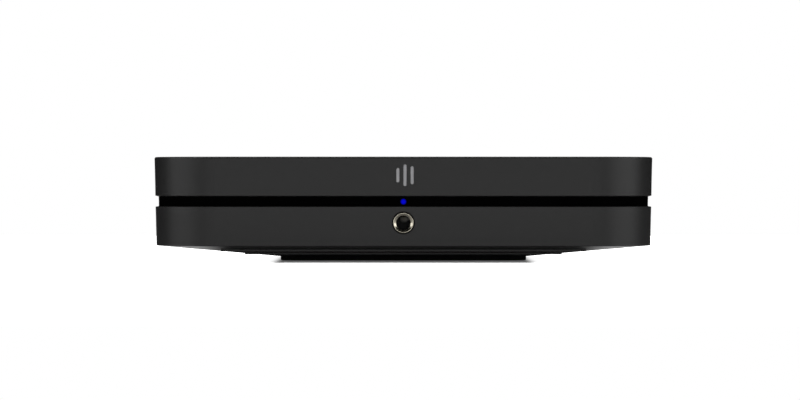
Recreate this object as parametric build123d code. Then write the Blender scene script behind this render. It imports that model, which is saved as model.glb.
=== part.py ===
from build123d import *
import os
from math import cos, radians, sin, tan

os.makedirs("parts", exist_ok=True)

# The front of the streamer faces -Y, its right side as seen from the front is +X,
# and it stands on z = 0 with the origin under the middle of the case.
# Lengths are in millimetres.

# Case, outside
case_width = 220.0
case_depth = 146.0
case_height = 46.0
corner_radius = 28.0
draft_degrees = 1.28
case_wall = 2.4
roof_thickness = 2.2
floor_thickness = 2.2
top_edge_radius = 0.85
skirt_height = 7.0
skirt_edge_radius = 0.3

# Dark groove between the two halves of the case
groove_low = 24.4
groove_high = 28.6
groove_depth = 1.45
lower_lip = 0.3
upper_lip = 0.4
tongue_reach = 2.6
tongue_thickness = 1.6

# Foot and the underside that rises away from it
foot_width = 110.0
foot_depth = 62.0
foot_radius = 9.0
foot_height = 1.9
foot_margin = 1.4
foot_inset_depth = 0.6
foot_edge_radius = 0.6
ledge_height = 0.8
ledge_run_shares = (0.33, 0.62)
ledge_length_shares = (0.727, 0.636)

# Clearances
loose_fit = 0.15
close_fit = 0.05
window_fit = 0.25
moving_gap = 0.3
overrun = 1.0

# Case screws, one near each corner
column_side_inset = 16.0
column_end_inset = 19.0
column_radius = 4.5
column_rise = 1.6
screw_seat_height = 14.0
screw_head_radius = 2.75
screw_head_height = 2.4
screw_radius = 1.5
screw_tip_gap = 1.0
screw_socket_radius = 1.25
insert_length = 8.0
insert_radius = 2.05
cover_boss_radius = 4.0
roof_rib_thickness = 1.4
roof_rib_drop = 3.0
roof_rib_side_gap = 35.0
roof_rib_front_gap = 18.0
roof_rib_pitch_share = 0.31
roof_rib_count = 3

# Rear bay and the panel in it
bay_depth = 8.0
panel_side_margin = 31.0
panel_bottom_margin = 1.8
panel_top_margin = 3.6
panel_thickness = 2.0
rim_thickness = 1.4
rim_setback = 0.4
vent_width = 2.2
vent_pitch = 5.0
vent_height_share = 0.55
vent_middle_share = 0.47
vent_reach_share = 0.57
panel_joint_gap = 0.2
panel_screw_radius = 1.2
panel_screw_head_radius = 2.0
panel_screw_head_height = 1.3
panel_screw_length = 6.5

# Touch panel in the roof
touch_length = 92.0
touch_width = 22.0
touch_thickness = 1.4
touch_setback = 33.0
touch_ledge = 4.0
touch_board_margin = 3.0
touch_board_thickness = 1.0
sensor_length = 4.0
sensor_width = 2.4
sensor_height = 0.6
sensor_inset = 16.0

# Polished bars let into the front of the upper half
inlay_middle_x = 0.7
inlay_middle_share = 0.534
inlay_bar_width = 1.3
inlay_pitch = 3.1
inlay_bar_shares = (0.356, 0.54, 0.448)
inlay_pocket_depth = 0.6
inlay_proud = 0.05

# Boards
board_thickness = 1.6
board_corner = 1.5
board_rear_gap = 1.0
board_boss_radius = 3.0
board_screw_radius = 1.1
board_screw_head_radius = 2.2
board_screw_head_height = 1.5
board_screw_reach = 4.4
board_hole_radius = 1.4

# Headphone socket, for a 6.35 mm plug
headphone_height = 17.2
plug_bore_radius = 3.2
bush_radius = 4.55
bush_length = 9.6
bush_setback = 0.25
bush_mouth_width = 0.9
bush_mouth_depth = 0.5
bush_edge_radius = 0.35
bush_hole_radius = 5.0
jack_width = 15.0
jack_axis_height = 6.4
jack_depth = 28.6
jack_gap = 0.6
jack_chamber_radius = 3.5
jack_chamber_depth = 27.0
contact_width = 2.4
contact_thickness = 0.35
contact_length = 9.0
contact_flat = 2.6
contact_bump_reach = 6.6
contact_lift = 0.5
contact_bump_drop = 1.3
contact_root_length = 1.2
contact_root_height = 1.6
tip_root_setback = 27.6
ring_root_setback = 19.6
headphone_board_width = 38.0
headphone_board_depth = 33.0
headphone_board_setback = 5.6
headphone_boss_inset = 3.6
amplifier_size = 5.0
amplifier_height = 1.2
amplifier_pitch = 8.0

# Light and infrared receiver behind the groove
light_rise = 2.0
light_radius = 1.2
light_flange_radius = 2.0
light_flange_thickness = 1.0
light_proud = 0.2
status_board_gap = 1.0
status_board_width = 30.0
status_board_height = 9.0
status_board_thickness = 1.6
led_width = 3.0
led_height = 2.6
led_depth = 1.4
receiver_width = 5.0
receiver_height = 6.0
receiver_depth = 1.2
receiver_dome_radius = 0.8
receiver_x = 6.6
status_post_radius = 1.1
status_post_x = 11.6
status_post_rise = 1.1

# Main board and what is on it
main_board_side_gap = 22.0
main_board_front_gap = 14.4
board_gap = 1.5
board_boss_inset = 5.0
rear_boss_setback = 24.0
processor_size = 17.0
processor_height = 1.6
processor_place_shares = (0.715, 0.463)
pad_thickness = 0.5
sink_size = 36.0
sink_base = 2.5
sink_height = 12.0
sink_fin_thickness = 1.2
sink_fin_count = 8
memory_width = 11.0
memory_depth = 9.0
memory_height = 1.1
memory_offset = 26.2
memory_pitch = 12.0
can_width = 24.0
can_depth = 26.0
can_height = 4.0
can_sheet = 0.4
can_place_shares = (0.467, 0.512)
can_hole_radius = 0.7
can_hole_pitch = 3.4
wireless_width = 26.0
wireless_depth = 22.0
wireless_thickness = 1.0
wireless_stand = 1.5
wireless_can_height = 2.2
wireless_can_margin = 3.0
wireless_side_inset = 16.0
wireless_depth_share = 0.346
wireless_plug_radius = 1.3
wireless_plug_height = 1.2
wireless_plug_pitch = 12.0
converter_size = 9.0
converter_height = 1.2
converter_place_shares = (0.277, 0.67)
amplifier_chip_width = 5.0
amplifier_chip_depth = 4.0
amplifier_chip_offset = 6.0
amplifier_chip_drop = 12.0
small_can_radius = 3.15
small_can_height = 8.0
small_can_pitch = 8.6
small_can_side_inset = 33.0
small_can_front_inset = 13.0
small_can_count = 4
capacitor_edge = 0.5

# Aerials and their thin leads
aerial_length = 40.0
aerial_thickness = 0.8
aerial_gap = 0.3
aerial_corner_gap = 10.0
aerial_frame_gap = 0.8
aerial_roof_gap = 1.0
lead_radius = 0.65
lead_bend = 6.0
lead_roof_gap = 3.3
lead_board_gap = 14.2
lead_front_setback = 13.0
lead_cross_setback = 17.0
lead_turn_x = 30.0
lead_drop_x = 38.0
lead_drop_gap = 6.0

# Flat ribbons between the boards, and their connectors
ribbon_width = 8.0
ribbon_thickness = 0.3
ribbon_bend = 3.0
connector_width = 11.0
connector_depth = 4.0
connector_height = 3.0
connector_front_inset = 4.0
touch_ribbon_x = -26.0
touch_connector_offset = 6.0
touch_connector_height = 2.0
headphone_ribbon_x = 13.2
headphone_ribbon_rise = 13.2
status_ribbon_x = -8.5
status_ribbon_rise = 1.6
status_connector_depth = 2.0
status_connector_height = 3.0
headphone_connector_inset = 3.0

# Row of sockets on the rear
socket_proud = 0.4
row_end_gap = 0.8
network_width = 16.0
network_height = 13.6
network_depth = 21.0
network_mouth_width = 11.8
network_mouth_height = 8.4
network_mouth_depth = 13.5
network_latch_width = 6.4
network_latch_height = 1.6
network_contact_width = 0.45
network_contact_thickness = 0.3
network_contact_length = 7.5
network_contact_pitch = 1.02
network_contact_count = 8
network_contact_tilt = 12.0
usb_width = 13.2
usb_height = 5.9
usb_depth = 14.5
usb_sheet = 0.45
usb_tongue_width = 11.1
usb_tongue_thickness = 1.8
usb_tongue_length = 9.0
usb_tongue_rise = 1.1
usb_edge_radius = 0.7
leg_thickness = 0.6
leg_depth = 5.0
av_width = 15.2
av_height = 5.8
av_depth = 13.0
av_sheet = 0.5
av_corner = 1.7
av_tongue_width = 10.6
av_tongue_thickness = 1.1
av_tongue_length = 8.0
stand_narrowing = 1.6
optical_width = 10.6
optical_depth = 13.6
optical_mouth_width = 8.4
optical_mouth_height = 8.2
optical_chamber_depth = 11.4
optical_relief = 1.7
optical_roof = 1.2
shutter_thickness = 0.8
shutter_barrel_radius = 0.7
shutter_pin_radius = 0.5
shutter_pin_reach = 0.7
shutter_setback = 1.5
emitter_radius = 1.4
emitter_length = 1.6
mini_pitch = 9.0
mini_count = 3
mini_width = 7.0
mini_half_height = 3.4
mini_depth = 15.0
mini_nose_radius = 2.9
mini_bore_radius = 1.8
mini_bore_depth = 13.5
phono_column_pitch = 16.0
phono_column_count = 2
phono_row_shares = (0.2335, 0.7665)
phono_block_width = 11.6
phono_block_depth = 13.0
phono_block_head = 5.8
phono_shell_radius = 4.15
phono_shell_wall = 0.45
phono_shell_seat = 2.0
phono_shell_reach = 7.5
phono_flange_radius = 4.5
phono_flange_thickness = 0.8
phono_core_radius = 2.4
phono_core_bore = 1.6
phono_core_setback = 0.5
inlet_body_width = 20.6
inlet_nose_height = 11.8
inlet_depth = 18.0
inlet_corner = 1.2
inlet_pin_pitch = 8.6
inlet_pin_radius = 1.2
inlet_pin_length = 9.6
inlet_mouth_radius = 4.2
inlet_mouth_depth = 14.0
inlet_ear_reach = 3.7
inlet_ear_height = 8.0
inlet_ear_thickness = 3.0
inlet_ear_screw_offset = 12.6

# Power board and what is on it
power_board_width = 38.3
power_board_side_gap = 21.2
power_board_setback = 29.0
power_boss_inset = 3.2
transformer_side_inset = 17.8
transformer_depth_share = 0.434
transformer_width = 28.0
transformer_depth = 24.0
transformer_height = 22.0
transformer_base_height = 3.0
transformer_leg = 6.0
transformer_core_depth = 12.0
transformer_coil_gap = 0.4
choke_side_inset = 12.2
choke_depth_share = 0.684
choke_width = 13.0
choke_depth = 15.0
choke_height = 18.0
choke_core_thickness = 5.0
choke_limb = 3.6
bulk_radius = 8.0
bulk_roof_gap = 6.0
bulk_side_inset = 11.2
bulk_depth_share = 0.684
output_can_radius = 5.0
output_can_height = 18.0
output_can_side_inset = 8.5
output_can_pitch = 12.4
output_can_count = 3
output_can_front_inset = 12.0
filter_width = 8.0
filter_depth = 10.0
filter_height = 15.0
filter_side_inset = 5.8
filter_rear_inset = 10.7
power_sink_side_inset = 2.0
power_sink_thickness = 2.0
power_sink_length = 26.0
power_sink_height = 24.0
power_sink_fin_reach = 2.6
power_sink_fin_count = 4
harness_depth_share = 0.38
harness_edge_inset = 2.8
harness_rise = 13.2
harness_bend = 3.0
wire_radius = 0.75
wire_pitch = 2.4
wire_count = 4
wire_header_width = 4.0
wire_header_height = 5.0

# What follows from those sizes
lean = tan(radians(draft_degrees))
half_width = case_width / 2
half_depth = case_depth / 2
roof_inside = case_height - roof_thickness
bottom_width = foot_width + 2 * foot_margin
bottom_depth = foot_depth + 2 * foot_margin
bottom_radius = foot_radius + foot_margin
panel_face = half_depth - bay_depth
panel_inside = panel_face - panel_thickness
panel_half_width = half_width - panel_side_margin
panel_low = skirt_height + panel_bottom_margin
panel_high = case_height - panel_top_margin
board_top = headphone_height - jack_axis_height
board_level = board_top - board_thickness
board_rear = panel_inside - board_rear_gap
row_height = headphone_height
mouth_line = panel_face + socket_proud
column_x = half_width - column_side_inset
column_y = half_depth - column_end_inset
column_top = groove_low + column_rise
column_spots = [(x, y) for x in (-column_x, column_x) for y in (-column_y, column_y)]
screw_length = column_top + insert_length - screw_tip_gap - screw_seat_height
touch_middle_y = touch_setback - half_depth
touch_connector_y = touch_middle_y + touch_connector_offset
light_height = groove_low + light_rise

# Edges of the three flat boards
headphone_board_front = headphone_board_setback - half_depth
main_board_left = main_board_side_gap - half_width
main_board_front = headphone_board_front + headphone_board_depth + main_board_front_gap
power_board_right = half_width - power_board_side_gap
power_board_left = power_board_right - power_board_width
power_board_front = power_board_setback - half_depth
main_board_right = power_board_left - board_gap


def main_spot(shares):
    """Spot on the main board, as shares of its width and its depth."""
    x = main_board_left + shares[0] * (main_board_right - main_board_left)
    y = main_board_front + shares[1] * (board_rear - main_board_front)
    return x, y


def power_depth(share):
    """Place along the depth of the power board."""
    return power_board_front + share * (board_rear - power_board_front)


processor_x, processor_y = main_spot(processor_place_shares)
can_x, can_y = main_spot(can_place_shares)
converter_x, converter_y = main_spot(converter_place_shares)
wireless_x = main_board_left + wireless_side_inset
wireless_y = main_spot((0, wireless_depth_share))[1]
harness_y = main_spot((0, harness_depth_share))[1]
transformer_x = power_board_right - transformer_side_inset
transformer_y = power_depth(transformer_depth_share)

# Sockets in the rear row, spread evenly from the mains inlet to the phono sockets
row_widths = {
    "inlet": inlet_body_width + 2 * inlet_ear_reach,
    "network": network_width,
    "usb": usb_width,
    "av": av_width,
    "optical": optical_width,
    "mini": (mini_count - 1) * mini_pitch + mini_width,
    "phono": (phono_column_count - 1) * phono_column_pitch + phono_block_width,
}
row_reach = panel_half_width - rim_thickness - row_end_gap
row_gap = (2 * row_reach - sum(row_widths.values())) / (len(row_widths) - 1)
row_middles = {}
row_edge = row_reach
for row_name, row_width in row_widths.items():
    row_middles[row_name] = row_edge - row_width / 2
    row_edge -= row_width + row_gap
inlet_x = row_middles["inlet"]
network_x = row_middles["network"]
usb_x = row_middles["usb"]
av_x = row_middles["av"]
optical_x = row_middles["optical"]
mini_places = [
    row_middles["mini"] + ((mini_count - 1) / 2 - index) * mini_pitch for index in range(mini_count)
]
phono_columns = [
    row_middles["phono"] + ((phono_column_count - 1) / 2 - index) * phono_column_pitch
    for index in range(phono_column_count)
]
phono_rows = [panel_low + share * (panel_high - panel_low) for share in phono_row_shares]
phono_places = [(x, z) for x in phono_columns for z in phono_rows]
panel_joint_x = (mini_places[0] + mini_nose_radius + optical_x - optical_width / 2) / 2

nodes = {}


def keep(name, *solids):
    """Store one piece, or a group of like pieces, under its name."""
    nodes[name] = solids[0] if len(solids) == 1 else Compound(children=list(solids))


def spanned(x_low, x_high, y_low, y_high, z_low, z_high):
    """Block between three pairs of faces."""
    middle = Pos((x_low + x_high) / 2, (y_low + y_high) / 2, (z_low + z_high) / 2)
    return middle * Box(x_high - x_low, y_high - y_low, z_high - z_low)


def seated(width, depth, height, x, y, z):
    """Block centred over a spot, with its underside at height z."""
    return spanned(x - width / 2, x + width / 2, y - depth / 2, y + depth / 2, z, z + height)


def post(radius, x, y, z_low, z_high):
    """Upright round post."""
    return Pos(x, y, (z_low + z_high) / 2) * Cylinder(radius, z_high - z_low)


def rod(radius, x, z, y_low, y_high):
    """Round rod that lies along the depth of the case."""
    return Pos(x, (y_low + y_high) / 2, z) * Rot(90, 0, 0) * Cylinder(radius, y_high - y_low)


def outline(z, inset=0.0):
    """Outline of the case at height z, drawn in by the draft of its sides and by the inset."""
    shrink = lean * (case_height - z) + inset
    return Pos(0, 0, z) * RectangleRounded(
        case_width - 2 * shrink, case_depth - 2 * shrink, corner_radius - shrink
    )


def drafted(low, high, inset=0.0):
    """Slab of the case between two heights, with its drafted sides."""
    return extrude(outline(high, inset), amount=low - high, taper=draft_degrees)


def bottom_outline(z, width, depth, radius):
    """Level outline centred under the case."""
    return Pos(0, 0, z) * RectangleRounded(width, depth, radius)


def front_face(z, inset=0.0):
    """Where the front of the case lies at height z."""
    return lean * (case_height - z) + inset - half_depth


def strip(x, width, points, thickness, bend):
    """Flat ribbon of even thickness that follows a bent line in the plane across x."""
    path = FilletPolyline(*[(x, y, z) for y, z in points], radius=bend)
    start = Plane(origin=path @ 0, z_dir=path % 0, x_dir=(1, 0, 0))
    return sweep(start * Rectangle(width, thickness), path=path)


def wire(points, radius, bend):
    """Round wire along straight runs joined by arcs."""
    path = FilletPolyline(*points, radius=bend)
    start = Plane(origin=path @ 0, z_dir=path % 0)
    return sweep(start * Circle(radius), path=path)


# Bars let into the front of the upper half
upper_height = case_height - groove_high
inlay_middle_height = groove_high + inlay_middle_share * upper_height
inlay_spots = [
    (inlay_middle_x + (index - (len(inlay_bar_shares) - 1) / 2) * inlay_pitch, share * upper_height)
    for index, share in enumerate(inlay_bar_shares)
]
inlay_plane_dir = (0, -cos(radians(draft_degrees)), -sin(radians(draft_degrees)))


def inlay_bar(x, height, growth, low, high):
    """Round-ended upright bar on the front face, from depth low to depth high."""
    origin = (x, front_face(inlay_middle_height), inlay_middle_height)
    face = Plane(origin=origin, x_dir=(1, 0, 0), z_dir=inlay_plane_dir)
    shape = SlotOverall(height + 2 * growth, inlay_bar_width + 2 * growth, rotation=90)
    return extrude(face.offset(low) * shape, amount=high - low)


def build_inlay():
    """Polished bars of three heights, glued into pockets of the front face."""
    bars = [
        inlay_bar(x, height, 0, -inlay_pocket_depth, inlay_proud) for x, height in inlay_spots
    ]
    keep("front_inlay", *bars)


def rear_cut():
    """Space that the rear panel and its rim take from the case."""
    reach = panel_half_width + loose_fit
    return spanned(
        -reach, reach, panel_inside - loose_fit, half_depth + overrun,
        panel_low - loose_fit, panel_high + loose_fit,
    )


def touch_outline(growth):
    """Round-ended outline of the touch panel, seen from above."""
    return SlotOverall(touch_length + 2 * growth, touch_width + 2 * growth)


def build_top_cover():
    """Upper half of the case: roof, drafted sides, lip over the groove and screw bosses."""
    skin = drafted(groove_high + upper_lip, case_height)
    skin = fillet(skin.faces().sort_by(Axis.Z)[-1].edges(), top_edge_radius)
    skin += loft([outline(groove_high + upper_lip), outline(groove_high, groove_depth)], ruled=True)
    skin -= drafted(groove_high - overrun, roof_inside, case_wall)
    for x, y in column_spots:
        skin += post(cover_boss_radius, x, y, column_top, roof_inside + roof_thickness / 2)
        skin -= post(insert_radius + close_fit, x, y, column_top - overrun, column_top + insert_length)
        skin -= post(screw_radius + window_fit, x, y, column_top, column_top + insert_length + overrun)
    first = touch_middle_y + touch_width / 2 + touch_board_margin + roof_rib_front_gap
    for index in range(roof_rib_count):
        skin += seated(
            2 * (half_width - roof_rib_side_gap), roof_rib_thickness, roof_rib_drop + roof_thickness / 2,
            0, first + index * roof_rib_pitch_share * (panel_inside - first), roof_inside - roof_rib_drop,
        )
    skin -= rear_cut()
    seat = Pos(0, touch_middle_y, case_height - touch_thickness)
    skin -= extrude(seat * touch_outline(loose_fit), amount=touch_thickness + overrun)
    skin -= extrude(seat * touch_outline(-touch_ledge), amount=-roof_thickness)
    for x, height in inlay_spots:
        skin -= inlay_bar(x, height, close_fit, -inlay_pocket_depth, overrun)
    keep("top_cover", skin)


def proximity_sensor():
    """Flat light sensor between the touch panel and its board."""
    return seated(
        sensor_length, sensor_width, sensor_height,
        touch_length / 2 - sensor_inset, touch_middle_y, roof_inside,
    )


def build_touch_panel():
    """Glossy touch panel in the roof, its board and its ribbon."""
    seat = Pos(0, touch_middle_y, case_height - touch_thickness)
    lens = extrude(seat * touch_outline(0), amount=touch_thickness)
    keep("touch_panel", lens)
    board_low = roof_inside - touch_board_thickness
    plate = Pos(0, touch_middle_y, board_low) * touch_outline(touch_board_margin)
    keep("touch_board", extrude(plate, amount=touch_board_thickness))
    down_y = main_board_front + connector_front_inset
    low = board_top + connector_height
    level = board_low - touch_connector_height / 2
    points = [(touch_connector_y + connector_depth / 2, level), (down_y, level), (down_y, low)]
    keep("touch_ribbon", strip(touch_ribbon_x, ribbon_width, points, ribbon_thickness, ribbon_bend))


def build_mid_frame():
    """Dark frame in the groove: its band shows, its tongue locates both halves of the case."""
    tongue_inset = case_wall + loose_fit
    low = groove_low - tongue_reach
    high = groove_high + tongue_reach
    frame = drafted(groove_low, groove_high, groove_depth)
    frame += drafted(low, high, tongue_inset)
    frame -= drafted(low - overrun, high + overrun, tongue_inset + tongue_thickness)
    frame -= spanned(
        -panel_half_width - loose_fit, panel_half_width + loose_fit, 0, half_depth,
        low - overrun, high + overrun,
    )
    jack_half = jack_width / 2 + window_fit
    frame -= spanned(
        -jack_half, jack_half, -half_depth, front_face(low, tongue_inset) + jack_width,
        low - overrun, headphone_height + jack_axis_height + window_fit,
    )
    post_height = groove_high + status_post_rise
    for side in (-1, 1):
        inner = frame_inner(post_height) - tongue_thickness / 2
        frame += rod(status_post_radius, side * status_post_x, post_height, inner, status_front())
    frame -= rod(
        light_radius + close_fit, 0, light_height, -half_depth, frame_inner(light_height) + overrun
    )
    frame -= rod(
        light_flange_radius + close_fit, 0, light_height, light_seat(),
        frame_inner(light_height) + overrun,
    )
    keep("mid_frame", frame)


def frame_inner(z):
    """Inner face of the frame in the groove, at the front."""
    return front_face(z, case_wall + loose_fit + tongue_thickness)


def light_seat():
    """Face of the frame that the light pipe's flange rests on."""
    return frame_inner(light_height) - light_flange_thickness / 2


def led_front():
    """Front of the light, just behind the pipe's flange."""
    return light_seat() + light_flange_thickness + moving_gap


def status_front():
    """Front face of the small board behind the groove."""
    return led_front() + led_depth


def infrared_receiver(low):
    """Infrared receiver with a domed lens, in front of the status board."""
    front = status_front()
    case_front = front - receiver_depth
    receiver = spanned(
        receiver_x - receiver_width / 2, receiver_x + receiver_width / 2, case_front, front,
        low, low + receiver_height,
    )
    return receiver + Pos(receiver_x, case_front, low + receiver_height / 2) * Sphere(receiver_dome_radius)


def build_status_board():
    """Light pipe, light, light sensors and the upright board behind the groove."""
    tip = front_face(light_height, groove_depth) - light_proud
    pipe = rod(light_radius, 0, light_height, tip, light_seat() + overrun)
    pipe = fillet(pipe.faces().sort_by(Axis.Y)[0].edges(), light_radius / 3)
    pipe += rod(
        light_flange_radius, 0, light_height, light_seat(), light_seat() + light_flange_thickness
    )
    keep("light_pipe", pipe)
    front = status_front()
    low = headphone_height + jack_axis_height + status_board_gap
    keep("status_board", spanned(
        -status_board_width / 2, status_board_width / 2, front, front + status_board_thickness,
        low, low + status_board_height,
    ))
    keep("status_led", spanned(
        -led_width / 2, led_width / 2, led_front(), front,
        light_height - led_height / 2, light_height + led_height / 2,
    ))
    keep("light_sensors", proximity_sensor(), infrared_receiver(low))
    rear = front + status_board_thickness + status_connector_depth
    down_y = main_board_front + connector_front_inset
    level = groove_high + status_ribbon_rise
    points = [(rear, level), (down_y, level), (down_y, board_top + connector_height)]
    keep("status_ribbon", strip(status_ribbon_x, ribbon_width, points, ribbon_thickness, ribbon_bend))


def ledge(side, run_share, length_share):
    """Long shallow ledge on the sloping underside, square outwards and flush inwards."""
    outer = half_depth - lean * (case_height - skirt_height)
    run = outer - bottom_depth / 2
    fall = skirt_height - foot_height
    y = side * (outer - run_share * run)
    top = skirt_height - run_share * fall
    low = top - ledge_height
    back = y - side * ledge_height * run / fall
    profile = Polyline(
        (0, y, top + floor_thickness / 2), (0, y, low), (0, back, low),
        (0, back, low + floor_thickness / 2), close=True,
    )
    return extrude(make_face(profile), amount=length_share * half_width, dir=(1, 0, 0), both=True)


def board_spots():
    """Places of the screws that hold the three flat boards."""
    rear = board_rear - rear_boss_setback
    main_front = main_board_front + board_boss_inset
    power_front = power_board_front + power_boss_inset
    headphone_front = headphone_board_front + headphone_boss_inset
    headphone_rear = headphone_board_front + headphone_board_depth - headphone_boss_inset
    headphone_x = headphone_board_width / 2 - headphone_boss_inset
    spots = [
        (x, y)
        for x in (main_board_left + board_boss_inset, main_board_right - board_boss_inset)
        for y in (main_front, rear)
    ]
    power_left = power_board_left + power_boss_inset
    power_right = power_board_right - power_boss_inset
    spots += [(power_left, power_front), (power_right, power_front), (power_left, rear)]
    spots += [(power_right, board_rear - power_boss_inset)]
    spots += [(-headphone_x, headphone_rear), (-headphone_x, headphone_front)]
    return spots + [(headphone_x, headphone_front)]


def build_lower_case():
    """Lower half of the case: drafted sides, sloping underside, columns and board bosses."""
    shell = drafted(skirt_height, groove_low - lower_lip)
    bottom = bottom_outline(foot_height, bottom_width, bottom_depth, bottom_radius)
    shell += loft([outline(skirt_height), bottom], ruled=True)
    rim = [edge for edge in shell.edges() if abs(edge.center().Z - skirt_height) < close_fit]
    shell = fillet(rim, skirt_edge_radius)
    shell += loft([outline(groove_low - lower_lip), outline(groove_low, groove_depth)], ruled=True)
    solid = shell
    shell -= drafted(skirt_height + floor_thickness, groove_low + overrun, case_wall)
    inner = bottom_outline(foot_height + floor_thickness, bottom_width, bottom_depth, bottom_radius)
    shell -= loft([outline(skirt_height + floor_thickness, case_wall), inner], ruled=True)
    for run_share, length_share in zip(ledge_run_shares, ledge_length_shares):
        for side in (-1, 1):
            shell += ledge(side, run_share, length_share)
    posts = [post(column_radius, x, y, 0, groove_low) for x, y in column_spots]
    posts += [post(board_boss_radius, x, y, 0, board_level) for x, y in board_spots()]
    for pillar in posts:
        shell += pillar & solid
    for x, y in column_spots:
        shell += post(column_radius, x, y, screw_seat_height, column_top)
        shell -= post(screw_head_radius + window_fit, x, y, -overrun, screw_seat_height)
        shell -= post(screw_radius + window_fit, x, y, 0, column_top + overrun)
    for x, y in board_spots():
        shell -= post(board_screw_radius + close_fit, x, y, board_top - board_screw_reach, board_top)
    shell -= rear_cut()
    wall_inside = front_face(headphone_height, case_wall)
    shell -= rod(bush_hole_radius, 0, headphone_height, -half_depth - overrun, wall_inside + overrun)
    recess = bottom_outline(
        foot_height, foot_width + 2 * loose_fit, foot_depth + 2 * loose_fit, foot_radius + loose_fit
    )
    shell -= extrude(recess, amount=foot_inset_depth)
    keep("lower_case", shell)


def build_foot_pad():
    """Rubber pad that the streamer stands on, glued into its shallow recess."""
    pad = extrude(
        bottom_outline(0, foot_width, foot_depth, foot_radius), amount=foot_height + foot_inset_depth
    )
    keep("foot_pad", fillet(pad.faces().sort_by(Axis.Z)[0].edges(), foot_edge_radius))


def case_screw(x, y):
    """Socket-headed screw that draws the two halves of the case together from below."""
    head_low = screw_seat_height - screw_head_height
    screw = post(screw_head_radius, x, y, head_low, screw_seat_height)
    screw += post(screw_radius, x, y, screw_seat_height, screw_seat_height + screw_length)
    key = Pos(x, y, head_low) * RegularPolygon(screw_socket_radius, 6)
    return screw - extrude(key, amount=screw_head_height / 2)


def cover_insert(x, y):
    """Brass threaded insert in a boss of the top cover."""
    high = column_top + insert_length
    sleeve = post(insert_radius, x, y, column_top, high)
    return sleeve - post(screw_radius + close_fit, x, y, column_top - overrun, high + overrun)


def board_screw(x, y):
    """Small pan-headed screw that holds a board on its boss."""
    screw = post(board_screw_head_radius, x, y, board_top, board_top + board_screw_head_height)
    screw = fillet(screw.faces().sort_by(Axis.Z)[-1].edges(), board_screw_head_height / 3)
    screw += post(board_screw_radius, x, y, board_top - board_screw_reach, board_top)
    slot_depth = board_screw_head_height / 2
    slot_low = board_top + board_screw_head_height - slot_depth
    arm = board_screw_head_radius
    thin = board_screw_radius / 2
    screw -= seated(arm, thin, slot_depth, x, y, slot_low)
    return screw - seated(thin, arm, slot_depth, x, y, slot_low)


def build_fasteners():
    """Screws and inserts of the case and the boards."""
    keep("case_screws", *[case_screw(x, y) for x, y in column_spots])
    keep("cover_inserts", *[cover_insert(x, y) for x, y in column_spots])
    keep("board_screws", *[board_screw(x, y) for x, y in board_spots()])


def circuit_board(x_low, x_high, y_low, y_high):
    """Flat circuit board with rounded corners and its screw holes."""
    plate = Pos((x_low + x_high) / 2, (y_low + y_high) / 2, board_level) * RectangleRounded(
        x_high - x_low, y_high - y_low, board_corner
    )
    board = extrude(plate, amount=board_thickness)
    for x, y in board_spots():
        if x_low < x < x_high and y_low < y < y_high:
            board -= post(board_hole_radius, x, y, board_level - overrun, board_top + overrun)
    return board


def build_boards():
    """Main board, power board and headphone board, all at one level."""
    keep("main_board", circuit_board(main_board_left, main_board_right, main_board_front, board_rear))
    keep("power_board", circuit_board(power_board_left, power_board_right, power_board_front, board_rear))
    half = headphone_board_width / 2
    rear = headphone_board_front + headphone_board_depth
    keep("headphone_board", circuit_board(-half, half, headphone_board_front, rear))


# Places along the headphone socket, measured back from its mouth
bush_front = front_face(headphone_height, bush_setback)
jack_front = front_face(headphone_height, case_wall) + jack_gap


def build_headphone_socket():
    """Metal bush and moulded body of the headphone socket."""
    z = headphone_height
    bush = rod(bush_radius, 0, z, bush_front, bush_front + bush_length)
    bush -= rod(plug_bore_radius, 0, z, bush_front - overrun, bush_front + bush_length + overrun)
    mouth = Cone(plug_bore_radius + bush_mouth_width, plug_bore_radius, bush_mouth_depth)
    bush -= Pos(0, bush_front + bush_mouth_depth / 2, z) * Rot(-90, 0, 0) * mouth
    rims = bush.faces().sort_by(Axis.Y)[0].edges().sort_by(SortBy.RADIUS)
    bush = fillet(rims[-1], bush_edge_radius)
    keep("headphone_bush", bush)
    body = spanned(
        -jack_width / 2, jack_width / 2, jack_front, jack_front + jack_depth,
        board_top, z + jack_axis_height,
    )
    body -= rod(bush_radius + close_fit, 0, z, jack_front - overrun, bush_front + bush_length)
    body -= rod(jack_chamber_radius, 0, z, jack_front, jack_front + jack_chamber_depth)
    for turn, setback in ((0, tip_root_setback), (90, ring_root_setback)):
        body -= contact_place(turn, setback) * contact_slot()
    keep("headphone_socket", body)
    keep("tip_contact", contact_place(0, tip_root_setback) * leaf_contact())
    keep("ring_contact", contact_place(90, ring_root_setback) * leaf_contact())


def contact_place(turn, setback):
    """Place of a spring contact round the axis of the socket, its root at the setback."""
    return Pos(0, bush_front + setback, headphone_height) * Rot(0, turn, 0)


def leaf_contact():
    """Sprung leaf that lies along the chamber and bends down to touch the plug."""
    low = jack_chamber_radius + contact_lift
    line = [
        (0, low), (-contact_flat, low), (-contact_bump_reach, low - contact_bump_drop),
        (-contact_length, low),
    ]
    upper = [(y, z + contact_thickness) for y, z in reversed(line)]
    profile = Polyline(*[(0, y, z) for y, z in line + upper], close=True)
    leaf = extrude(make_face(profile), amount=contact_width / 2, dir=(1, 0, 0), both=True)
    return leaf + spanned(
        -contact_width / 2, contact_width / 2, -contact_root_length / 2, contact_root_length / 2,
        low, low + contact_root_height,
    )


def contact_slot():
    """Slot in the body that a leaf contact moves in, open to the outside."""
    half = contact_width / 2 + moving_gap
    return spanned(
        -half, half, -contact_length - moving_gap, contact_root_length / 2 + moving_gap,
        0, jack_width,
    )


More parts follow.
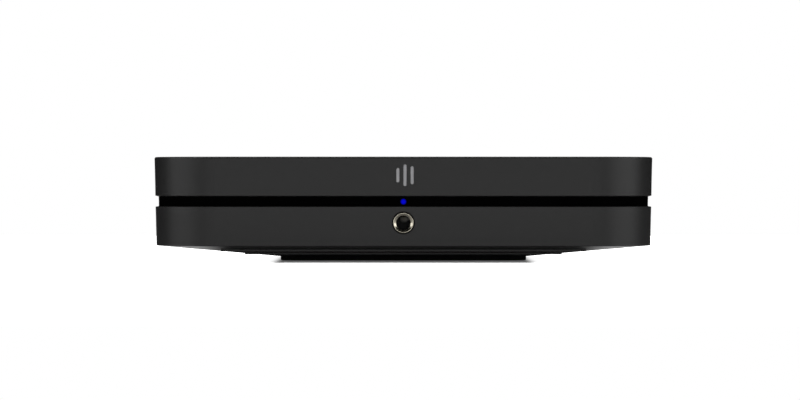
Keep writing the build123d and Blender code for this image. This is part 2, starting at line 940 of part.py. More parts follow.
def build_headphone_ribbon():
    """Ribbon from the headphone board to the main board."""
    start_y = headphone_connector_y()
    end_y = main_board_front + connector_front_inset
    low = board_top + connector_height
    high = board_top + headphone_ribbon_rise
    points = [(start_y, low), (start_y, high), (end_y, high), (end_y, low)]
    keep("headphone_ribbon", strip(
        headphone_ribbon_x, ribbon_width, points, ribbon_thickness, ribbon_bend
    ))


def headphone_connector_y():
    """Place of the connector near the rear edge of the headphone board."""
    return headphone_board_front + headphone_board_depth - headphone_connector_inset


def harness_ends():
    """Places across the case of the two headers of the power harness."""
    return (main_board_right - harness_edge_inset, power_board_left + harness_edge_inset)


def build_connectors():
    """Connectors that the ribbons and the power harness plug into."""
    front_y = main_board_front + connector_front_inset
    places = [(x, front_y) for x in (touch_ribbon_x, headphone_ribbon_x, status_ribbon_x)]
    places += [(headphone_ribbon_x, headphone_connector_y())]
    plugs = [
        seated(connector_width, connector_depth, connector_height, x, y, board_top) for x, y in places
    ]
    touch_low = roof_inside - touch_board_thickness - touch_connector_height
    plugs.append(seated(
        connector_width, connector_depth, touch_connector_height,
        touch_ribbon_x, touch_connector_y, touch_low,
    ))
    rear = status_front() + status_board_thickness
    level = groove_high + status_ribbon_rise
    plugs.append(spanned(
        status_ribbon_x - connector_width / 2, status_ribbon_x + connector_width / 2,
        rear, rear + status_connector_depth,
        level - status_connector_height / 2, level + status_connector_height / 2,
    ))
    plugs += [
        seated(wire_header_width, wire_pitch * wire_count, wire_header_height, x, harness_y, board_top)
        for x in harness_ends()
    ]
    keep("board_connectors", *plugs)


def build_processor():
    """Processor with its heat-conducting pad, finned heat sink and memory chips."""
    keep("processor", seated(
        processor_size, processor_size, processor_height, processor_x, processor_y, board_top
    ))
    pad_low = board_top + processor_height
    keep("thermal_pad", seated(
        processor_size, processor_size, pad_thickness, processor_x, processor_y, pad_low
    ))
    sink_low = pad_low + pad_thickness
    sink = seated(sink_size, sink_size, sink_base, processor_x, processor_y, sink_low)
    pitch = (sink_size - sink_fin_thickness) / (sink_fin_count - 1)
    for index in range(sink_fin_count):
        x = processor_x - (sink_size - sink_fin_thickness) / 2 + index * pitch
        sink += seated(sink_fin_thickness, sink_size, sink_height, x, processor_y, sink_low)
    keep("heat_sink", sink)


def build_shield_can():
    """Folded metal can over the clock and the digital audio chips, with vent holes."""
    can = seated(can_width, can_depth, can_height, can_x, can_y, board_top)
    can -= seated(
        can_width - 2 * can_sheet, can_depth - 2 * can_sheet, can_height - can_sheet,
        can_x, can_y, board_top,
    )
    across = int(can_width / can_hole_pitch) - 1
    along = int(can_depth / can_hole_pitch) - 1
    grid = GridLocations(can_hole_pitch, can_hole_pitch, across, along)
    holes = Pos(can_x, can_y, board_top + can_height - can_sheet) * Sketch(
        [place * Circle(can_hole_radius) for place in grid]
    )
    keep("shield_can", can - extrude(holes, amount=can_sheet))


def build_wireless():
    """Wireless card, its two aerials on the front wall and their leads."""
    low = board_top + wireless_stand
    card = seated(wireless_width, wireless_depth, wireless_thickness, wireless_x, wireless_y, low)
    card += seated(
        wireless_width / 2, wireless_depth / 2, wireless_stand, wireless_x, wireless_y, board_top
    )
    top = low + wireless_thickness
    card += seated(
        wireless_width - 2 * wireless_can_margin, wireless_depth - 2 * wireless_can_margin,
        wireless_can_height, wireless_x, wireless_y + wireless_can_margin / 2, top,
    )
    plug_y = wireless_y - wireless_depth / 2 + wireless_plug_radius
    plug_xs = [wireless_x + side * wireless_plug_pitch / 2 for side in (-1, 1)]
    for x in plug_xs:
        card += post(wireless_plug_radius, x, plug_y, top, top + wireless_plug_height)
    keep("wireless_module", card)
    aerial_low = groove_high + tongue_reach + aerial_frame_gap
    aerial_high = roof_inside - aerial_roof_gap
    aerial_x = half_width - corner_radius - aerial_corner_gap - aerial_length / 2
    wall = front_face(aerial_low, case_wall) + aerial_gap
    plates = [
        spanned(
            x - aerial_length / 2, x + aerial_length / 2, wall, wall + aerial_thickness,
            aerial_low, aerial_high,
        )
        for x in (-aerial_x, aerial_x)
    ]
    keep("aerials", *plates)
    start_y = wall + aerial_thickness
    plug_top = top + wireless_plug_height
    near_y = lead_front_setback - half_depth
    cross_y = lead_cross_setback - half_depth
    drop_y = main_board_front - lead_drop_gap
    level = (aerial_low + aerial_high) / 2
    high_level = roof_inside - lead_roof_gap
    low_level = board_top + lead_board_gap
    left_lead = [
        (-aerial_x, start_y, level), (-aerial_x, near_y, level),
        (plug_xs[0], drop_y, low_level), (plug_xs[0], plug_y, low_level), (plug_xs[0], plug_y, plug_top),
    ]
    right_lead = [
        (aerial_x, start_y, level), (aerial_x, near_y, level),
        (lead_turn_x, cross_y, high_level), (-lead_drop_x, cross_y, high_level),
        (plug_xs[1], drop_y, low_level), (plug_xs[1], plug_y, low_level), (plug_xs[1], plug_y, plug_top),
    ]
    keep("aerial_leads", *[wire(route, lead_radius, lead_bend) for route in (left_lead, right_lead)])


def can_capacitor(radius, height, x, y):
    """Round can capacitor that stands on its board."""
    can = post(radius, x, y, board_top, board_top + height)
    return fillet(can.faces().sort_by(Axis.Z)[-1].edges(), capacitor_edge)


def build_audio_parts():
    """Memory, converter and amplifier chips and small capacitors, each soldered to its board."""
    chips = [seated(
        converter_size, converter_size, converter_height, converter_x, converter_y, board_top
    )]
    for side in (-1, 1):
        chips.append(seated(
            memory_width, memory_depth, memory_height, processor_x + memory_offset,
            processor_y + side * memory_pitch / 2, board_top,
        ))
    for side in (-1, 1):
        chips.append(seated(
            amplifier_chip_width, amplifier_chip_depth, converter_height,
            converter_x + side * amplifier_chip_offset, converter_y - amplifier_chip_drop, board_top,
        ))
    amplifier_x = -headphone_board_width / 2 + amplifier_size
    amplifier_y = headphone_board_front + headphone_board_depth / 2
    for side in (-1, 1):
        chips.append(seated(
            amplifier_size, amplifier_size, amplifier_height, amplifier_x,
            amplifier_y + side * amplifier_pitch / 2, board_top,
        ))
    keep("board_chips", *chips)
    first = main_board_left + small_can_side_inset
    y = main_board_front + small_can_front_inset
    xs = [first + index * small_can_pitch for index in range(small_can_count)]
    cans = [can_capacitor(small_can_radius, small_can_height, x, y) for x in xs]
    keep("board_capacitors", *cans)


def build_network_socket():
    """Network socket: shielded box with a keyed mouth and eight spring wires."""
    rear = mouth_line - network_depth
    box = spanned(
        network_x - network_width / 2, network_x + network_width / 2, rear, mouth_line,
        board_top, board_top + network_height,
    )
    mouth_low = row_height - network_mouth_height / 2
    mouth_back = mouth_line - network_mouth_depth
    box -= seated(
        network_mouth_width, 2 * network_mouth_depth, network_mouth_height, network_x, mouth_line, mouth_low
    )
    box -= seated(
        network_latch_width, 2 * network_mouth_depth, network_latch_height + close_fit, network_x,
        mouth_line, mouth_low - network_latch_height,
    )
    keep("network_socket", box)
    ceiling = mouth_low + network_mouth_height
    drop = network_contact_length * sin(radians(network_contact_tilt)) / 2
    wires = []
    for index in range(network_contact_count):
        x = network_x + (index - (network_contact_count - 1) / 2) * network_contact_pitch
        place = Pos(x, mouth_back + network_mouth_depth / 2, ceiling - drop - network_contact_thickness)
        wires.append(place * Rot(network_contact_tilt, 0, 0) * Box(
            network_contact_width, network_contact_length, network_contact_thickness
        ))
    keep("network_contacts", *wires)


def legs(x, width, y):
    """Pair of flat legs that stand a raised socket on the board."""
    shapes = []
    for side in (-1, 1):
        at = x + side * (width - leg_thickness) / 2
        shapes.append(seated(leg_thickness, leg_depth, row_height - board_top, at, y, board_top))
    return shapes


def sheet_sleeve(outer, inner, y_low, y_high):
    """Sheet-metal sleeve between two outlines, closed at its inner end."""
    shell = extrude(outer, amount=y_high - y_low, dir=(0, 1, 0))
    hollow = extrude(inner, amount=y_high - y_low, dir=(0, 1, 0))
    return shell - hollow


def across(x, y, z):
    """Plane across the depth of the case, looking in from behind."""
    return Plane(origin=(x, y, z), x_dir=(1, 0, 0), z_dir=(0, -1, 0))


def build_usb_socket():
    """Serial bus socket: sheet sleeve on legs."""
    rear = mouth_line - usb_depth
    place = across(usb_x, rear, row_height)
    outer = place * RectangleRounded(usb_width, usb_height, usb_edge_radius)
    inner = across(usb_x, rear + usb_sheet, row_height) * RectangleRounded(
        usb_width - 2 * usb_sheet, usb_height - 2 * usb_sheet, usb_edge_radius - usb_sheet
    )
    sleeve = sheet_sleeve(outer, inner, rear, mouth_line)
    for leg in legs(usb_x, usb_width, rear + usb_depth / 2):
        sleeve += leg - extrude(outer, amount=usb_depth, dir=(0, 1, 0))
    keep("usb_socket", sleeve)


def av_outline(y, growth):
    """Outline of the digital sound socket, its two lower corners cut off."""
    width = av_width - 2 * av_sheet + 2 * growth
    height = av_height - 2 * av_sheet + 2 * growth
    corner = av_corner + growth / 2
    half = width / 2
    low = row_height - height / 2
    high = row_height + height / 2
    points = [
        (av_x - half, y, high), (av_x + half, y, high), (av_x + half, y, low + corner),
        (av_x + half - corner, y, low), (av_x - half + corner, y, low), (av_x - half, y, low + corner),
    ]
    return make_face(Polyline(*points, close=True))


def build_av_socket():
    """Digital sound socket: keyed sheet sleeve on legs."""
    rear = mouth_line - av_depth
    outer = av_outline(rear, av_sheet)
    sleeve = sheet_sleeve(outer, av_outline(rear + av_sheet, 0), rear, mouth_line)
    for leg in legs(av_x, av_width, rear + av_depth / 2):
        sleeve += leg - extrude(outer, amount=av_depth, dir=(0, 1, 0))
    keep("av_socket", sleeve)


def build_tongues():
    """Moulded tongues inside the serial bus and digital sound sockets, and the blocks under them."""
    usb_back = mouth_line - usb_depth + usb_sheet
    usb_tongue = seated(
        usb_tongue_width, usb_tongue_length, usb_tongue_thickness, usb_x,
        usb_back + usb_tongue_length / 2, row_height + usb_tongue_rise - usb_tongue_thickness / 2,
    )
    av_back = mouth_line - av_depth + av_sheet
    av_tongue = seated(
        av_tongue_width, av_tongue_length, av_tongue_thickness, av_x,
        av_back + av_tongue_length / 2, row_height - av_tongue_thickness / 2,
    )
    keep("socket_tongues", usb_tongue, av_tongue)
    stands = []
    for x, width, depth, height in (
        (usb_x, usb_width, usb_depth, usb_height), (av_x, av_width, av_depth, av_height)
    ):
        span = width - 2 * leg_thickness - stand_narrowing
        middle = mouth_line - depth / 2 - stand_narrowing
        stands.append(seated(
            span, depth - 2 * stand_narrowing, row_height - height / 2 - board_top, x, middle, board_top
        ))
    keep("socket_stands", *stands)


# Places inside the optical socket
optical_mouth_low = row_height - optical_mouth_height / 2
optical_ceiling = row_height + optical_mouth_height / 2 + optical_relief
shutter_y = mouth_line - shutter_setback - shutter_barrel_radius
shutter_height = optical_ceiling - moving_gap - shutter_barrel_radius


def build_optical_socket():
    """Optical socket with its hinged dust shutter, held in the two side walls."""
    rear = mouth_line - optical_depth
    box = spanned(
        optical_x - optical_width / 2, optical_x + optical_width / 2, rear, mouth_line,
        board_top, optical_ceiling + optical_roof,
    )
    chamber_front = shutter_y + shutter_barrel_radius + moving_gap
    box -= seated(
        optical_mouth_width, 2 * optical_chamber_depth, optical_mouth_height, optical_x,
        mouth_line, optical_mouth_low,
    )
    box -= spanned(
        optical_x - optical_mouth_width / 2, optical_x + optical_mouth_width / 2,
        mouth_line - optical_chamber_depth, chamber_front, optical_mouth_low, optical_ceiling,
    )
    reach = optical_mouth_width / 2 + shutter_pin_reach
    box -= Pos(optical_x, shutter_y, shutter_height) * Rot(0, 90, 0) * Cylinder(
        shutter_pin_radius + close_fit, 2 * (reach + close_fit)
    )
    emitter_y = mouth_line - optical_chamber_depth
    box += rod(
        emitter_radius, optical_x, row_height, emitter_y - optical_roof / 2, emitter_y + emitter_length
    )
    keep("optical_socket", box)
    leaf_half = optical_mouth_width / 2 - moving_gap
    leaf = spanned(
        optical_x - leaf_half, optical_x + leaf_half,
        shutter_y - shutter_thickness / 2, shutter_y + shutter_thickness / 2,
        optical_mouth_low + moving_gap, shutter_height,
    )
    leaf += Pos(optical_x, shutter_y, shutter_height) * Rot(0, 90, 0) * Cylinder(
        shutter_barrel_radius, 2 * leaf_half
    )
    leaf += Pos(optical_x, shutter_y, shutter_height) * Rot(0, 90, 0) * Cylinder(
        shutter_pin_radius, 2 * reach
    )
    keep("optical_shutter", leaf)


def build_mini_sockets():
    """Three small round sockets for trigger, infrared and line plugs."""
    sockets = []
    for x in mini_places:
        body = spanned(
            x - mini_width / 2, x + mini_width / 2, mouth_line - mini_depth, panel_inside - loose_fit,
            board_top, row_height + mini_half_height,
        )
        body += rod(mini_nose_radius, x, row_height, panel_inside - overrun, mouth_line)
        body -= rod(mini_bore_radius, x, row_height, mouth_line - mini_bore_depth, mouth_line + overrun)
        sockets.append(body)
    keep("mini_sockets", *sockets)


phono_block_front = panel_inside - loose_fit


def build_phono_sockets():
    """Stacked phono sockets: moulded blocks, plated shells and insulating cores."""
    blocks = []
    for x in phono_columns:
        block = spanned(
            x - phono_block_width / 2, x + phono_block_width / 2,
            phono_block_front - phono_block_depth, phono_block_front,
            board_top, phono_rows[-1] + phono_block_head,
        )
        for z in phono_rows:
            block -= rod(
                phono_shell_radius + close_fit, x, z, phono_block_front - phono_shell_seat,
                phono_block_front + overrun,
            )
        middle = (phono_rows[0] + phono_rows[-1]) / 2
        block -= rod(
            panel_screw_radius + close_fit, x, middle,
            phono_block_front - panel_screw_length, phono_block_front,
        )
        blocks.append(block)
    keep("phono_blocks", *blocks)
    tip = panel_face + phono_shell_reach
    foot = phono_block_front - phono_shell_seat
    shells = []
    cores = []
    for x, z in phono_places:
        shell = rod(phono_shell_radius, x, z, foot, tip)
        shell += rod(phono_flange_radius, x, z, panel_face, panel_face + phono_flange_thickness)
        shell -= rod(phono_shell_radius - phono_shell_wall, x, z, foot - overrun, tip + overrun)
        shells.append(shell)
        inner = phono_shell_radius - phono_shell_wall - close_fit
        core = rod(inner, x, z, foot, panel_face + phono_flange_thickness)
        core += rod(phono_core_radius, x, z, foot, tip - phono_core_setback)
        core -= rod(phono_core_bore, x, z, foot + phono_shell_seat, tip)
        cores.append(core)
    keep("phono_shells", *shells)
    keep("phono_cores", *cores)


def inlet_mouth(radius, y, depth):
    """Mouth of the mains inlet: two round bores joined by a flat-sided channel."""
    span = inlet_pin_pitch / 2
    shape = rod(radius, inlet_x - span, row_height, y, y + depth)
    shape += rod(radius, inlet_x + span, row_height, y, y + depth)
    return shape + spanned(
        inlet_x - span, inlet_x + span, y, y + depth, row_height - radius, row_height + radius
    )


def build_mains_inlet():
    """Two-pin mains inlet with ears that are screwed to the panel."""
    low = row_height - inlet_nose_height / 2
    rear = mouth_line - inlet_depth
    body = extrude(
        across(inlet_x, rear, row_height)
        * RectangleRounded(inlet_body_width, inlet_nose_height, inlet_corner),
        amount=inlet_depth, dir=(0, 1, 0),
    )
    front = panel_inside - close_fit
    body += seated(
        inlet_body_width + 2 * inlet_ear_reach, inlet_ear_thickness, inlet_ear_height,
        inlet_x, front - inlet_ear_thickness / 2, row_height - inlet_ear_height / 2,
    )
    body += seated(
        inlet_body_width - 2 * inlet_corner, inlet_depth / 2, low + inlet_corner - board_top,
        inlet_x, rear + inlet_depth / 4, board_top,
    )
    body -= inlet_mouth(inlet_mouth_radius, mouth_line - inlet_mouth_depth, inlet_mouth_depth + overrun)
    for side in (-1, 1):
        body -= rod(
            panel_screw_radius + close_fit, inlet_x + side * inlet_ear_screw_offset, row_height,
            front - inlet_ear_thickness - overrun, front + overrun,
        )
    pins = []
    for side in (-1, 1):
        x = inlet_x + side * inlet_pin_pitch / 2
        back = mouth_line - inlet_mouth_depth
        pin = rod(inlet_pin_radius, x, row_height, rear - overrun, back + inlet_pin_length)
        pin = fillet(pin.faces().sort_by(Axis.Y)[-1].edges(), inlet_pin_radius / 2)
        pins.append(pin)
        body -= rod(inlet_pin_radius, x, row_height, rear - overrun, back)
    keep("mains_inlet", body)
    keep("mains_pins", *pins)


phono_screw_spots = [(x, (phono_rows[0] + phono_rows[-1]) / 2) for x in phono_columns]
inlet_screw_spots = [(inlet_x + side * inlet_ear_screw_offset, row_height) for side in (-1, 1)]


def build_bay_rim():
    """Moulded rim round the rear bay, which holds the rear panel."""
    rim_end = half_depth - lean * (case_height - panel_low) - rim_setback
    rim = spanned(-panel_half_width, panel_half_width, panel_inside, rim_end, panel_low, panel_high)
    rim -= spanned(
        rim_thickness - panel_half_width, panel_half_width - rim_thickness, panel_inside - overrun,
        rim_end + overrun, panel_low + rim_thickness, panel_high - rim_thickness,
    )
    keep("bay_rim", rim)


def panel_plate(left, right):
    """Flat plate of the rear panel between two places, as high as the rim inside."""
    inset = rim_thickness + close_fit
    return spanned(left, right, panel_inside, panel_face, panel_low + inset, panel_high - inset)


def panel_hole(radius, x, z):
    """Round hole of the rear panel round a socket or a screw."""
    return rod(radius + window_fit, x, z, panel_inside - overrun, mouth_line + overrun)


def panel_window(x, width, z_low, z_high):
    """Rectangular window of the rear panel round a socket."""
    return seated(
        width + 2 * window_fit, 2 * (mouth_line - panel_inside) + 2 * overrun,
        z_high - z_low + 2 * window_fit, x, panel_inside, z_low - window_fit,
    )


def panel_slots():
    """Row of upright vent slots over the sockets."""
    band_low = board_top + network_height
    band = panel_high - rim_thickness - band_low
    middle = band_low + vent_middle_share * band
    left = panel_joint_x + vent_pitch
    right = vent_reach_share * panel_half_width
    slots = []
    for index in range(int((right - left) / vent_pitch) + 1):
        face = across(left + index * vent_pitch, panel_inside - overrun, middle)
        slots.append(extrude(
            face * SlotOverall(vent_height_share * band, vent_width, rotation=90),
            amount=panel_thickness + 2 * overrun, dir=(0, 1, 0),
        ))
    return slots


def panel_screw(x, z):
    """Small black screw that holds a socket to the rear panel."""
    head_end = panel_face + panel_screw_head_height
    screw = rod(panel_screw_head_radius, x, z, panel_face, head_end)
    screw = fillet(screw.faces().sort_by(Axis.Y)[-1].edges(), panel_screw_head_height / 3)
    screw += rod(panel_screw_radius, x, z, panel_face - panel_screw_length, panel_face)
    thin = panel_screw_radius / 2
    for width, height in ((panel_screw_head_radius, thin), (thin, panel_screw_head_radius)):
        screw -= seated(width, panel_screw_head_height, height, x, head_end, z - height / 2)
    return screw


def build_audio_panel():
    """Plate of the rear panel with the round holes of the mini and phono sockets."""
    inset = rim_thickness + close_fit
    plate = panel_plate(inset - panel_half_width, panel_joint_x - panel_joint_gap / 2)
    for x in mini_places:
        plate -= panel_hole(mini_nose_radius, x, row_height)
    for x, z in phono_places:
        plate -= panel_hole(phono_shell_radius, x, z)
    for x, z in phono_screw_spots:
        plate -= panel_hole(panel_screw_radius, x, z)
    keep("audio_panel", plate)


def build_rear_panel():
    """Plate of the rear panel with the square windows and a row of vents over them."""
    inset = rim_thickness + close_fit
    plate = panel_plate(panel_joint_x + panel_joint_gap / 2, panel_half_width - inset)
    half_usb = usb_height / 2
    half_av = av_height / 2
    half_nose = inlet_nose_height / 2
    for x, width, z_low, z_high in (
        (network_x, network_width, board_top + window_fit, board_top + network_height),
        (usb_x, usb_width, row_height - half_usb, row_height + half_usb),
        (av_x, av_width, row_height - half_av, row_height + half_av),
        (optical_x, optical_width, board_top + window_fit, optical_ceiling + optical_roof),
        (inlet_x, inlet_body_width, row_height - half_nose, row_height + half_nose),
    ):
        plate -= panel_window(x, width, z_low, z_high)
    for x, z in inlet_screw_spots:
        plate -= panel_hole(panel_screw_radius, x, z)
    keep("rear_panel", plate - panel_slots())
    keep("panel_screws", *[panel_screw(x, z) for x, z in phono_screw_spots + inlet_screw_spots])


def build_transformer():
    """Transformer: core of sheets round a taped coil on its base."""
    low = board_top + transformer_base_height
    base = seated(
        transformer_width, transformer_depth, transformer_base_height,
        transformer_x, transformer_y, board_top,
    )
    core_high = board_top + transformer_height
    core = spanned(
        transformer_x - transformer_width / 2, transformer_x + transformer_width / 2,
        transformer_y - transformer_core_depth / 2, transformer_y + transformer_core_depth / 2,
        low, core_high,
    )
    coil_low = low + transformer_leg / 2
    coil_high = core_high - transformer_leg / 2
    half = transformer_width / 2 - transformer_leg / 2
    core -= spanned(
        transformer_x - half, transformer_x + half, transformer_y - transformer_depth / 2,
        transformer_y + transformer_depth / 2, coil_low, coil_high,
    )
    keep("transformer_core", core)
    coil = seated(
        2 * (half - transformer_coil_gap), transformer_depth - 2 * transformer_coil_gap,
        coil_high - coil_low - 2 * transformer_coil_gap, transformer_x, transformer_y,
        coil_low + transformer_coil_gap,
    )
    neck_middle = (transformer_core_depth + transformer_depth) / 4
    neck = seated(
        transformer_leg, (transformer_depth - transformer_core_depth) / 2 - 2 * transformer_coil_gap,
        coil_low - low + transformer_coil_gap + overrun,
        transformer_x, transformer_y + neck_middle, low,
    )
    keep("transformer_coil", coil + neck + base)


def build_choke():
    """Mains choke: square ring of core with its winding inside."""
    choke_x = power_board_left + choke_side_inset
    choke_y = power_depth(choke_depth_share)
    choke_high = board_top + choke_height
    limb_low = board_top + choke_limb
    limb_high = choke_high - choke_limb
    ring = spanned(
        choke_x - choke_width / 2, choke_x + choke_width / 2, choke_y - choke_core_thickness / 2,
        choke_y + choke_core_thickness / 2, board_top, choke_high,
    )
    ring -= spanned(
        choke_x - choke_width / 2 + choke_limb, choke_x + choke_width / 2 - choke_limb,
        choke_y - choke_depth / 2, choke_y + choke_depth / 2, limb_low, limb_high,
    )
    winding = seated(
        choke_width - 2 * choke_limb - 2 * close_fit, choke_depth, limb_high - limb_low - 2 * close_fit,
        choke_x, choke_y, limb_low + close_fit,
    )
    keep("mains_choke", ring, fillet(winding.edges().filter_by(Axis.Z), choke_limb / 3))


def build_power_cans():
    """Capacitors, filter block and heat sink of the power board."""
    keep("bulk_capacitor", can_capacitor(
        bulk_radius, roof_inside - bulk_roof_gap - board_top,
        power_board_right - bulk_side_inset, power_depth(bulk_depth_share),
    ))
    first = power_board_left + output_can_side_inset
    y = power_board_front + output_can_front_inset
    xs = [first + index * output_can_pitch for index in range(output_can_count)]
    cans = [can_capacitor(output_can_radius, output_can_height, x, y) for x in xs]
    keep("output_capacitors", *cans)
    keep("mains_filter", seated(
        filter_width, filter_depth, filter_height,
        power_board_right - filter_side_inset, board_rear - filter_rear_inset, board_top,
    ))
    power_sink_x = power_board_right - power_sink_side_inset
    sink = seated(
        power_sink_thickness, power_sink_length, power_sink_height, power_sink_x, transformer_y, board_top
    )
    gap = (power_sink_length - power_sink_thickness) / (power_sink_fin_count - 1)
    for index in range(power_sink_fin_count):
        y = transformer_y - (power_sink_length - power_sink_thickness) / 2 + index * gap
        sink += spanned(
            power_sink_x, power_sink_x + power_sink_thickness / 2 + power_sink_fin_reach,
            y - power_sink_thickness / 2, y + power_sink_thickness / 2,
            board_top + transformer_base_height, board_top + power_sink_height,
        )
    keep("power_heat_sink", sink)


def build_harness():
    """Four wires that carry power from the power board to the main board."""
    left, right = harness_ends()
    low = board_top + wire_header_height
    high = board_top + harness_rise
    wires = []
    for index in range(wire_count):
        y = harness_y + (index - (wire_count - 1) / 2) * wire_pitch
        route = [(left, y, low), (left, y, high), (right, y, high), (right, y, low)]
        wires.append(wire(route, wire_radius, harness_bend))
    keep("power_harness", *wires)


build_inlay()
build_top_cover()
build_touch_panel()
build_mid_frame()
build_status_board()
build_lower_case()
build_foot_pad()
build_fasteners()
build_boards()
build_headphone_socket()
build_headphone_ribbon()
build_connectors()
build_processor()
build_shield_can()
build_wireless()
build_audio_parts()
build_network_socket()
build_usb_socket()
build_av_socket()
build_tongues()
build_optical_socket()
build_mini_sockets()
build_phono_sockets()
build_mains_inlet()
build_bay_rim()
build_audio_panel()
build_rear_panel()
build_transformer()
build_choke()
build_power_cans()
build_harness()

for name, shape in nodes.items():
    export_step(shape, f"parts/{name}.step")
print(len(nodes), "nodes")
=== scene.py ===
from math import pi

import bpy
import numpy as np
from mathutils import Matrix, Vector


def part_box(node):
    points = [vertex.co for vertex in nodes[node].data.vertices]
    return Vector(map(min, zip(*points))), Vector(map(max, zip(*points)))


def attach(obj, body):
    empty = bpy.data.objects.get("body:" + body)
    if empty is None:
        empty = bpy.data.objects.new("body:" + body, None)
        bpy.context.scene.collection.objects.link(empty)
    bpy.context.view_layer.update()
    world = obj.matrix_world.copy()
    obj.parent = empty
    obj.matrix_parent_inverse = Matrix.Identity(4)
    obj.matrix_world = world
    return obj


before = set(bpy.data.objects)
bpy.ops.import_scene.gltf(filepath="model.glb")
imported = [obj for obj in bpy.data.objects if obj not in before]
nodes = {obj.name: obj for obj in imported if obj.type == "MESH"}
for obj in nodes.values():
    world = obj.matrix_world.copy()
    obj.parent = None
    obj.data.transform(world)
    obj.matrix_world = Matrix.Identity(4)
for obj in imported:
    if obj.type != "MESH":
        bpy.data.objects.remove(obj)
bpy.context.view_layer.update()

MM = 0.001

# Camera: level, straight in front of the streamer and a little lower than its top,
# as far away as a long lens in a small studio. The shift is measured in the photo's pixels.
camera_lens = 165.7
camera_distance = 1.673
camera_height = 0.033
photo_width = 800
photo_shift = (-3.4, -13.5)
camera_data = bpy.data.cameras.new("camera")
camera_data.lens = camera_lens
camera_data.shift_x = photo_shift[0] / photo_width
camera_data.shift_y = photo_shift[1] / photo_width
camera = bpy.data.objects.new("camera", camera_data)
camera.location = (0, -camera_distance, camera_height)
camera.rotation_euler = (pi / 2, 0, 0)
bpy.context.scene.collection.objects.link(camera)
bpy.context.scene.camera = camera
bpy.context.scene.view_settings.view_transform = "Standard"

# Studio: a white table in a room that the camera sees as white, lit by five soft boxes. What
# the table shows to the camera, to mirror images and from below is set apart, so that the
# thin shadow stays while the black case mirrors a dim table.
table_size = 1.6
table_gap = 0.05 * MM
table_reflectance = 0.8
mirrored_edge_shade = 0.08
mirrored_middle_shade = 0.4
mirrored_front_shade = 0.8
mirrored_front_reach = (-0.1, -0.08)
mirrored_middle_reach = (0.1, 0.13)
seen_glow = (0.06, 0.97)
seen_glow_reach = (0.0535, 0.0595)
seen_glow_depth = (0.082, 0.118)
seen_front_glow = (0.0, 0.6)
mirrored_glow = (0.0, 1.2)
mirrored_glow_reach = (0.076, 0.094)
mirrored_glow_end = (0.112, 0.13)
mirrored_glow_depth = (0.07, 0.1)
glow_from_below = 1.2
room_light = 0.2


def joined(tree, operation, first, second):
    """Two values joined by one step of arithmetic."""
    node = tree.nodes.new("ShaderNodeMath")
    node.operation = operation
    tree.links.new(first, node.inputs[0])
    tree.links.new(second, node.inputs[1])
    return node.outputs[0]


def unsigned(tree, value):
    """Value without its sign."""
    node = tree.nodes.new("ShaderNodeMath")
    node.operation = "ABSOLUTE"
    tree.links.new(value, node.inputs[0])
    return node.outputs[0]


def seen(tree, *kinds):
    """1 for the named kinds of ray and 0 for all others."""
    path = tree.nodes.new("ShaderNodeLightPath")
    value = path.outputs[kinds[0]]
    for kind in kinds[1:]:
        value = joined(tree, "MAXIMUM", value, path.outputs[kind])
    return value


def ramp(tree, value, ends, levels):
    """Smooth rise of a value from one level to another between two ends."""
    node = tree.nodes.new("ShaderNodeMapRange")
    node.interpolation_type = "SMOOTHSTEP"
    for label, end in zip(("From Min", "From Max", "To Min", "To Max"), ends + levels):
        node.inputs[label].default_value = end
    tree.links.new(value, node.inputs["Value"])
    return node.outputs["Result"]


def places(tree):
    """Object coordinates of a material, whole and split along the axes."""
    coords = tree.nodes.new("ShaderNodeTexCoord")
    split = tree.nodes.new("ShaderNodeSeparateXYZ")
    tree.links.new(coords.outputs["Object"], split.inputs[0])
    return coords.outputs["Object"], split.outputs


